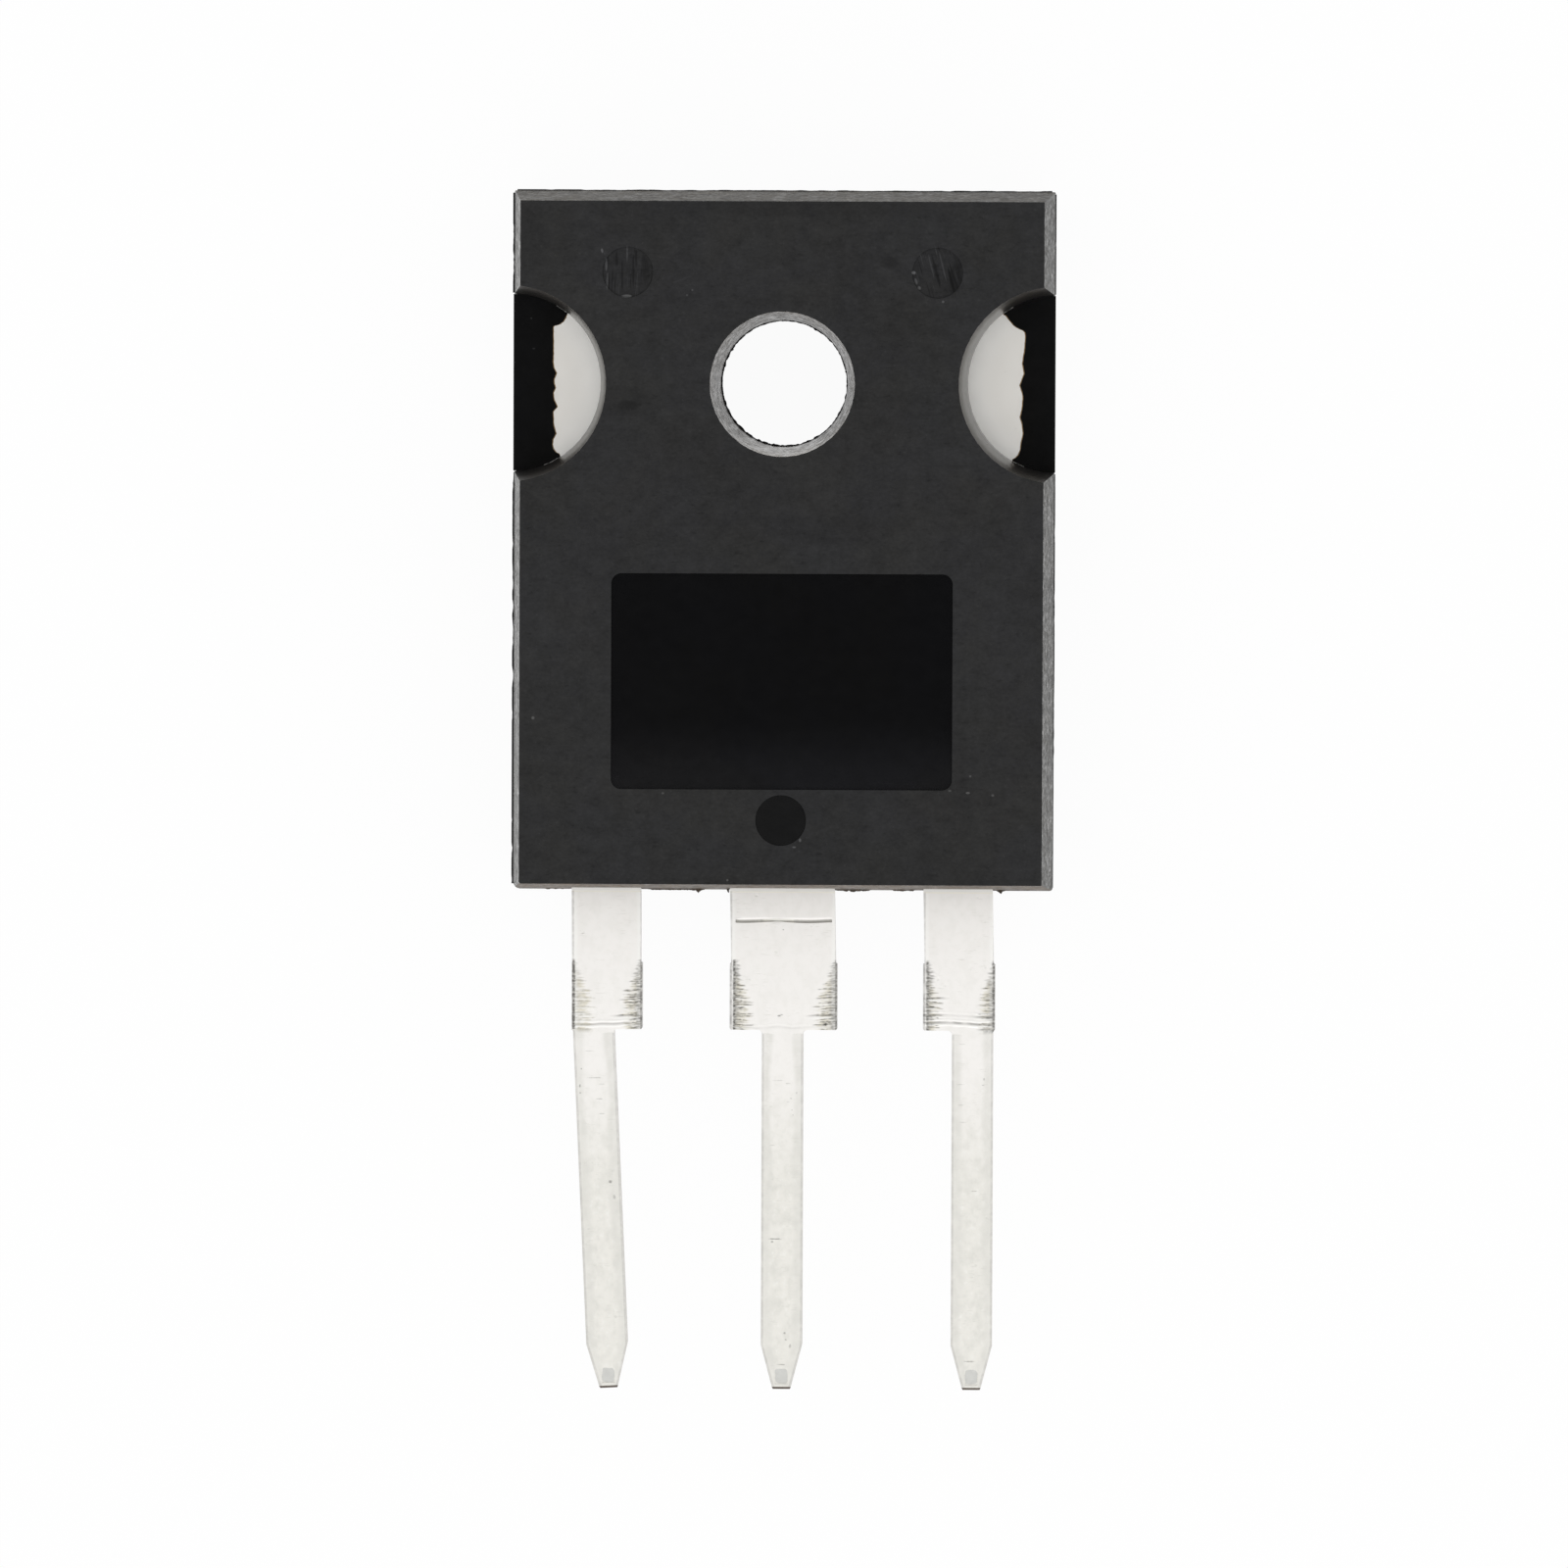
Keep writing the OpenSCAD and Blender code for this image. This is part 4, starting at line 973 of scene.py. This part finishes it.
def makeLead(name, node, slot):
    bm = nodeCopy(node)
    marks = trimValues(node)
    outside = leads["outside"]
    wideShift, shaftShift = leads["shifts"][node]
    for v in bm.verts:
        if v.co.y < outside:
            v.co.x = min(max(v.co.x, marks["Left Edge"]), marks["Right Edge"])
            v.co.x += shaftShift if v.co.y < leads["shoulder"] - 0.005 * mm else wideShift
    marks["Left Edge"] += wideShift
    marks["Right Edge"] += wideShift
    marks["Centre"] += shaftShift
    left, right = marks["Left Edge"], marks["Right Edge"]

    def rounded(a, b):
        atFlat = all(p.y < tipY + 0.7 * mm and p.z > leadTop - 0.14 * mm for p in (a, b))
        onFlat = atFlat and abs(a.x - b.x) + abs(a.y - b.y) < 0.6 * mm
        return a.y < outside and b.y < outside and not (onLine(a) and onLine(b)) and not onFlat

    def atShoulder(p):
        return abs(p.y - leads["shoulder"]) < 0.05 * mm and left + 0.2 * mm < p.x < right - 0.2 * mm

    def inShoulder(a, b):  # the upright edges where the shaft meets the wide part
        return abs(a.z - b.z) > 0.3 * mm and atShoulder(a) and atShoulder(b)

    for v in bm.verts:  # the tip is narrower and less bevelled, and the flat on it wider, than drawn
        below = tipY + leads["taper"] - v.co.y
        if below < 0:
            continue
        middle = marks["Centre"] + math.tan(marks["Lean"]) * (leads["shoulder"] - v.co.y)
        across, up = v.co.x - middle, v.co.y - tipY
        onTop = v.co.z > leadTop - 0.1 * mm
        onFlat = onTop and abs(across) < 0.22 * mm and up < 0.7 * mm
        narrower = 1 - (1 - leads["tipScale"]) * below / leads["taper"]
        v.co.x = middle + across * narrower * (leads["flatScale"] if onFlat else 1)
        if onTop and not onFlat and 0.09 * mm < up < 0.15 * mm:
            v.co.y -= leads["bevelCut"]
    roundEdges(bm, leads["fillet"], 3, inShoulder)
    roundEdges(bm, leads["edgeRadius"], 3, rounded)
    everything = bm.verts[:] + bm.edges[:] + bm.faces[:]
    for cut in (outside, leads["marksTop"], leads["shoulder"]):
        everything = cutAt(bm, everything, (0, cut, 0), (0, 1, 0))
    lower = region(bm, lambda p: leads["shoulder"] < p.y < leads["marksTop"])
    lower = cutRows(bm, lower, 1, leads["marksTop"], leads["shoulder"], leads["fineStep"])
    nearLeft, nearRight = left + leads["marksReach"], right - leads["marksReach"]
    for first, last, step in ((left, nearLeft, leads["fineStep"]), (nearLeft, nearRight, leads["middleStep"]),
                              (nearRight, right, leads["fineStep"])):
        lower = cutRows(bm, lower, 0, first, last, step)
    upper = region(bm, lambda p: leads["marksTop"] < p.y < outside)
    upper = cutRows(bm, upper, 1, outside, leads["marksTop"], leads["coarseStep"])
    cutRows(bm, upper, 0, left, right, leads["coarseStep"])
    middle, reach, lost = leads["lineShallow"]
    waver, turns, start = leads["lineWaver"]
    for v in bm.verts:  # the pressed line wavers, and is shallow near its middle
        if node == "drain_tab" and onLine(v.co):
            shallow = math.exp(-((v.co.x / mm - middle) / reach) ** 2)
            v.co.z = leadTop - (leadTop - v.co.z) * (1 - lost * shallow)
            v.co.y += waver * math.sin(turns * v.co.x / mm + start)
    shaft = region(bm, lambda p: tipY < p.y < leads["shoulder"])
    shaft = cutRows(bm, shaft, 1, leads["shoulder"], tipY, leads["coarseStep"])
    cutRows(bm, shaft, 0, left, right, leads["coarseStep"])
    bm.normal_update()
    for face in bm.faces:
        face.material_index = leadFace(face)
    piece = newPiece(name, bm, [tinned, cutCopper, tinnedTab, pressedTin, pressedLine])
    grown(piece, trimMarks, {**marks, **trimPlaces, "Material": tinned})
    placed(piece, slot, node)


makeLead("gateLead", "gate_lead", "tinned_lead")
makeLead("sourceLead", "source_lead", "tinned_lead")
makeLead("tabAndDrainLead", "drain_tab", "tinned_tab")
print("tab and leads")


# Flash: thin rags of compound where the halves of the mould met each other, the tab and the leads

flash = {
    "sunk": 0.004 * mm,      # how deep its root lies in the wall
    "sideSizes": (0.03 * mm, 0.05 * mm, 0.08 * mm),      # depth, height and step along it
    "damSizes": (0.04 * mm, 0.34 * mm, 0.04 * mm),
    "boreSizes": (0.03 * mm, 0.03 * mm, 0.04 * mm),
    "boreTeeth": {3: 0.03, 12: 0.02, 29: 0.02, 45: 0.012, 52: 0.01, 66: 0.02},      # deeper in millimetres
    "filmThickness": 0.018 * mm,
    "bleedThickness": 0.005 * mm,
    "bleedReach": 0.03,      # beyond the film's edge, in millimetres
    "bleedColour": (0.42, 0.25, 0.08),
    # along each stretch of the parting line, in millimetres: a place and how far the flash stands out there
    "sides": [
        (-1, [(-14.55, 0.045), (-8.95, 0.045), (-8.85, 0.03), (-2.6, 0.03)]),
        (-1, [(2.6, 0.03), (5.5, 0.036)]),
        (1, [(-14.6, 0.0), (-10.8, 0.002), (-10.7, 0.012), (-2.6, 0.012)]),
        (1, [(2.6, 0.02), (5.5, 0.02)]),
    ],
    "top": [(-7.75, 0.033), (-5.85, 0.033), (-5.78, 0.016), (7.75, 0.016)],
    # the same between the leads, where the cut dam bar leaves a ragged edge
    "dams": [
        [(-7.3, 0.0), (-6.9, 0.01), (-6.8, 0.03), (-6.7, 0.012), (-6.55, 0.02), (-6.16, 0.015)],
        [(-4.08, 0.01), (-3.9, 0.01), (-3.86, 0.03), (-2.9, 0.03), (-2.5, 0.035), (-2.44, 0.1), (-2.37, 0.03),
         (-2.29, 0.03), (-2.2, 0.0), (-1.62, 0.0), (-1.58, 0.09), (-1.54, 0.09)],
        [(1.54, 0.02), (1.86, 0.04), (2.1, 0.05), (2.52, 0.03), (2.6, 0.0), (3.2, 0.0), (3.24, 0.03),
         (3.8, 0.03), (3.86, 0.01), (4.08, 0.01)],
        [(6.12, 0.01), (6.22, 0.02), (6.3, 0.05), (6.36, 0.085), (6.43, 0.03), (6.5, 0.01), (7.3, 0.008)],
    ],
}


def flashTree():
    tree, given = newTree("flashRag", [
        ("Depth", "Float", 0.0), ("Height", "Float", 0.0), ("Step", "Float", 0.0), ("Rows", "Int", 8),
        ("Thinning", "Float", 0.0), ("Grain", "Float", 0.0), ("Seed", "Float", 0.0),
        ("Material", "Material", None)])
    line = given.node("GeometryNodeMeshToCurve", None, {0: given})
    line = given.node("GeometryNodeResampleCurve", {"mode": "LENGTH"}, {0: line, 3: given.other("Step")})
    line = given.node("GeometryNodeSetCurveNormal", {"mode": "Z_UP"}, {0: line})
    line = given.node("GeometryNodeStoreNamedAttribute", {"data_type": "FLOAT_VECTOR", "domain": "POINT"},
                      {0: line, "Name": "path", "Value": given.node("GeometryNodeInputPosition")})
    section = given.node("GeometryNodeCurvePrimitiveQuadrilateral", None,
                         {0: given.other("Depth"), 1: given.other("Height")})
    section = given.node("GeometryNodeResampleCurve", {"mode": "COUNT"}, {0: section, 2: given.other("Rows")})
    swept = given.node("GeometryNodeCurveToMesh", None, {0: line, 1: section, "Fill Caps": True})
    place = given.node("GeometryNodeInputPosition")
    path, outward = [given.node("GeometryNodeInputNamedAttribute", {"data_type": "FLOAT_VECTOR"}, {0: name})
                     for name in ("path", "outward")]
    fromPath = place.vector("SUBTRACT", path)
    outside = fromPath.vector("DOT_PRODUCT", outward, "Value").rise(0.0, 1e-12)
    shifted = place.vector("ADD", given.joined(given.other("Seed"))).times(1 / given.other("Grain"))
    ragged = given.node("ShaderNodeTexNoise", None, {"Vector": shifted, "Scale": 1.0, "Detail": 3.0,
                                                     "Roughness": 0.6})
    push = outward.times(outside * (0.15 + 1.7 * ragged.rise(0.25, 0.75)))
    x, y, z = fromPath.axes()
    thin = given.joined(z=-1 * z * outside * given.other("Thinning"))
    moved = given.node("GeometryNodeSetPosition", None, {0: swept, "Offset": push.vector("ADD", thin)})
    flat = given.node("GeometryNodeSetShadeSmooth", None, {0: moved, "Shade Smooth": False})
    return endTree(flat, given.other("Material"))


def filmTree():
    tree, given = newTree("notchFilm", [
        ("Thickness", "Float", 0.0), ("Level", "Float", 0.0), ("Wave", "Float", 0.0), ("Seed", "Float", 0.0),
        ("Step", "Float", 0.0), ("Material", "Material", None)])
    line = given.node("GeometryNodeMeshToCurve", None, {0: given})
    line = given.node("GeometryNodeResampleCurve", {"mode": "LENGTH"}, {0: line, 3: given.other("Step")})
    free = given.node("GeometryNodeInputNamedAttribute", {"data_type": "FLOAT"}, {0: "free"})
    shifted = given.node("GeometryNodeInputPosition").vector("ADD", given.joined(z=given.other("Seed")))
    ripple = shifted.noise(0.16 * mm, 0.0, 2) - 0.5
    sway = given.joined(given.other("Wave") * free.rise(0.5, 1.0) * ripple)
    line = given.node("GeometryNodeSetPosition", None, {0: line, "Offset": sway})
    sheet = given.node("GeometryNodeFillCurve", {"mode": "TRIANGLES"}, {0: line})
    lift = given.joined(z=given.other("Level"))
    sheet = given.node("GeometryNodeTransform", None, {0: sheet, "Translation": lift})
    upward = given.joined(z=given.other("Thickness"))
    top = given.node("GeometryNodeExtrudeMesh", {"mode": "FACES"},
                     {0: sheet, "Offset": upward, "Offset Scale": 1.0, "Individual": False})
    under = given.node("GeometryNodeFlipFaces", None, {0: sheet})
    both = given.node("GeometryNodeJoinGeometry", None, {0: top})
    both.tree.links.new(under.socket, both.socket.node.inputs[0])
    whole = given.node("GeometryNodeMergeByDistance", None, {0: both, "Distance": 1e-8})
    return endTree(whole, given.other("Material"))


flashRag = flashTree()
notchFilm = filmTree()


# A bare line that a tree grows a piece on. Behind its place, each point carries a vector or a number.
def linePiece(name, lines, closed=False):
    mesh = bpy.data.meshes.new(name)
    points = [point for line in lines for point in line]
    edges, first = [], 0
    for line in lines:
        edges += [(first + i, first + i + 1) for i in range(len(line) - 1)]
        if closed:
            edges.append((first + len(line) - 1, first))
        first += len(line)
    mesh.from_pydata([point[0] for point in points], edges, [])
    isVector = len(points[0]) == 4
    label, kind, field = ("outward", "FLOAT_VECTOR", "vector") if isVector else ("free", "FLOAT", "value")
    held = mesh.attributes.new(label, kind, "POINT")
    held.data.foreach_set(field, [value for point in points for value in point[1:]])
    piece = bpy.data.objects.new(name, mesh)
    bpy.context.scene.collection.objects.link(piece)
    return piece


compound = mouldMaterial("flashCompound", 0.014, 0.6, 0.002, 0.15, 1.0)
boreCompound = mouldMaterial("boreFlashCompound", 0.012, 0.7, 0.001, 0.1, 1.5)
damCompound = mouldMaterial("damBarFlash", 0.035, 0.55, 0.003, 0.15, 2.4, (1.25, 0.9, 0.6), flecks=1.0)
filmCompound = mouldMaterial("flashFilm", 0.0068, 0.12, 0.0002, 0.2, 0.5,
                             marks=((-7.36, 1.86, 0.03, 0.03, 0, 5.0), (-7.28, 0.98, 0.045, 0.02, 0, 3.5)))


def bleedMaterial():
    material, start, at = newMaterial("resinBleed")
    patches = at.noise(0.12 * mm, 0.013, 2)
    colour = start.tint(patches, flash["bleedColour"], darker(flash["bleedColour"], 0.6))
    finishMaterial(start, {"Base Color": colour, "Roughness": 0.25 + 0.1 * patches}, patches, 0.0005 * mm)
    return material


resinBleed = bleedMaterial()


def growFlash(piece, sizes, rows, thinning, grain, seed, material):
    depth, height, step = sizes
    grown(piece, flashRag, {"Depth": depth, "Height": height, "Step": step, "Rows": rows,
                            "Thinning": thinning, "Grain": grain, "Seed": seed, "Material": material})
    placed(piece, "moulding")


def makePartingFlash():
    lines = []
    for side, stretch in flash["sides"]:
        inset = moulding["leftInset" if side < 0 else "rightInset"][0] + flash["sunk"]
        lines.append([((side * (halfWidth - inset), y * mm, partingZ), side * (proud * mm + 0.001 * mm), 0, 0)
                      for y, proud in stretch])
    topY = holeEnd - moulding["endInset"] - flash["sunk"]
    lines.append([((x * mm, topY, partingZ), 0, proud * mm, 0) for x, proud in flash["top"]])
    piece = linePiece("partingFlash", lines)
    growFlash(piece, flash["sideSizes"], 8, 0.7, 0.5 * mm, 0.3, compound)
    keepInside(piece)


def keepInside(piece):  # no rag may reach past the body's true outline
    for v in piece.data.vertices:
        v.co.x = min(max(v.co.x, cadBox[0].x), cadBox[1].x)
        v.co.y = min(v.co.y, cadBox[1].y)


def makeDamFlash():  # between the leads it fills the thickness of the lead frame
    level = partingZ + flash["damSizes"][1] / 2 + 0.01 * mm
    lines = [[((x * mm, leadEnd + 0.055 * mm, level), 0, -(proud * mm + 0.002 * mm), 0) for x, proud in span]
             for span in flash["dams"]]
    piece = linePiece("damBarFlash", lines)
    growFlash(piece, flash["damSizes"], 28, 0.6, 0.12 * mm, 0.7, damCompound)


def makeBoreFlash():
    line, count = [], 72
    radius = boreRadius + moulding["boreGrowth"][1] + 0.008 * mm
    for i in range(count):
        angle = 2 * math.pi * i / count
        x, y = math.cos(angle), math.sin(angle)
        deep = 0.03 if 130 < math.degrees(angle) < 300 else 0.018
        deep += flash["boreTeeth"].get(i, 0.0)
        place = (radius * x + moulding["boreShift"], radius * y, partingZ)
        line.append((place, -x * deep * mm, -y * deep * mm, 0))
    piece = linePiece("boreFlash", [line], closed=True)
    growFlash(piece, flash["boreSizes"], 8, 0.6, 0.12 * mm, 1.1, boreCompound)


notch = {
    "centre": halfWidth + 0.03 * mm,
    "radius": 2.566 * mm,
    "outer": halfWidth - 0.006 * mm,
    "tabTop": 2.0 * mm,
    "wave": 0.03 * mm,
    "step": 0.02 * mm,
    # free edge of each film over the tab, from the top of the notch down, in millimetres
    "leftEdge": [
        (-6.355, 1.925), (-6.385, 1.85), (-6.445, 1.76), (-6.535, 1.69), (-6.625, 1.655), (-6.715, 1.64),
        (-6.73, 1.6), (-6.725, 0.8), (-6.735, 0.6), (-6.71, 0.42), (-6.63, 0.27), (-6.7, 0.1),
        (-6.705, -0.03), (-6.66, -0.155), (-6.725, -0.3), (-6.705, -0.5), (-6.61, -0.706), (-6.73, -0.85),
        (-6.71, -1.25), (-6.645, -1.487), (-6.73, -1.65), (-6.745, -1.8), (-6.715, -1.93), (-6.645, -2.03),
        (-6.555, -2.065),
    ],
    "rightEdge": [
        (6.365, 2.02), (6.435, 1.985), (6.495, 1.9), (6.565, 1.82), (6.645, 1.72), (6.745, 1.643),
        (6.845, 1.59), (6.935, 1.554), (6.995, 1.5), (7.005, 1.4), (6.985, 1.05), (6.925, 0.6),
        (6.975, 0.31), (6.85, -0.03), (6.945, -0.35), (6.92, -0.7), (6.86, -0.954), (6.905, -1.1),
        (6.955, -1.417), (6.885, -1.737), (6.875, -1.9), (6.805, -2.06), (6.725, -2.14), (6.645, -2.18),
    ],
}


def makeFilm(name, side, edge, grow, level, thickness, seed, material):
    centre, radius, count = notch["centre"], notch["radius"], 24
    first, last = [math.atan2(y * mm, centre - abs(x) * mm) for x, y in (edge[0], edge[-1])]
    reach = math.acos((centre - notch["outer"]) / radius)

    def arc(start, stop):
        angles = [start + (stop - start) * i / count for i in range(count + 1)]
        return [((side * (centre - radius * math.cos(a)), radius * math.sin(a), 0), 0.0) for a in angles]

    free = [(((x - side * grow) * mm, y * mm, 0), 1.0) for x, y in edge]
    piece = linePiece(name, [arc(reach, first) + free + arc(last, -reach)], closed=True)
    grown(piece, notchFilm, {"Thickness": thickness, "Level": level, "Wave": notch["wave"], "Seed": seed,
                             "Step": notch["step"], "Material": material})
    placed(piece, "moulding")


def makeNotchFilms():
    tabTop, bleed, film = notch["tabTop"], flash["bleedThickness"], flash["filmThickness"]
    for name, side, seed in (("left", -1, 0.2), ("right", 1, 0.9)):
        edge = notch[name + "Edge"]
        makeFilm(name + "ResinBleed", side, edge, flash["bleedReach"], tabTop, bleed, seed, resinBleed)
        makeFilm(name + "NotchFilm", side, edge, 0.0, tabTop + bleed, film, seed, filmCompound)


makePartingFlash()
makeDamFlash()
makeBoreFlash()
makeNotchFilms()
print("flash")


# Inside the moulding

def plainMaterial(name, colour, metallic, roughness, grainSize, grain):
    material, start, at = newMaterial(name)
    patches = at.noise(grainSize, 0.01, 3)
    shade = start.tint(patches, colour, darker(colour, 0.8))
    finishMaterial(start, {"Base Color": shade, "Metallic": metallic,
                           "Roughness": roughness + 0.1 * (patches - 0.5)}, patches, grain)
    return material


inside = {
    "silicon_die": plainMaterial("metallisedSilicon", (0.42, 0.43, 0.46), 0.8, 0.3, 0.4 * mm, 0.0005 * mm),
    "die_solder": plainMaterial("softSolder", (0.5, 0.5, 0.52), 1.0, 0.45, 0.2 * mm, 0.003 * mm),
    "gate_wire": plainMaterial("gateWire", (0.8, 0.81, 0.83), 1.0, 0.35, 0.05 * mm, 0.0005 * mm),
    "source_wire_1": plainMaterial("sourceWire", (0.8, 0.81, 0.83), 1.0, 0.38, 0.08 * mm, 0.0005 * mm),
}
inside["source_wire_2"] = inside["source_wire_1"]
for node, material in inside.items():
    frame["nodes"][node].data.materials[0] = material
print("die, solder and bond wires")
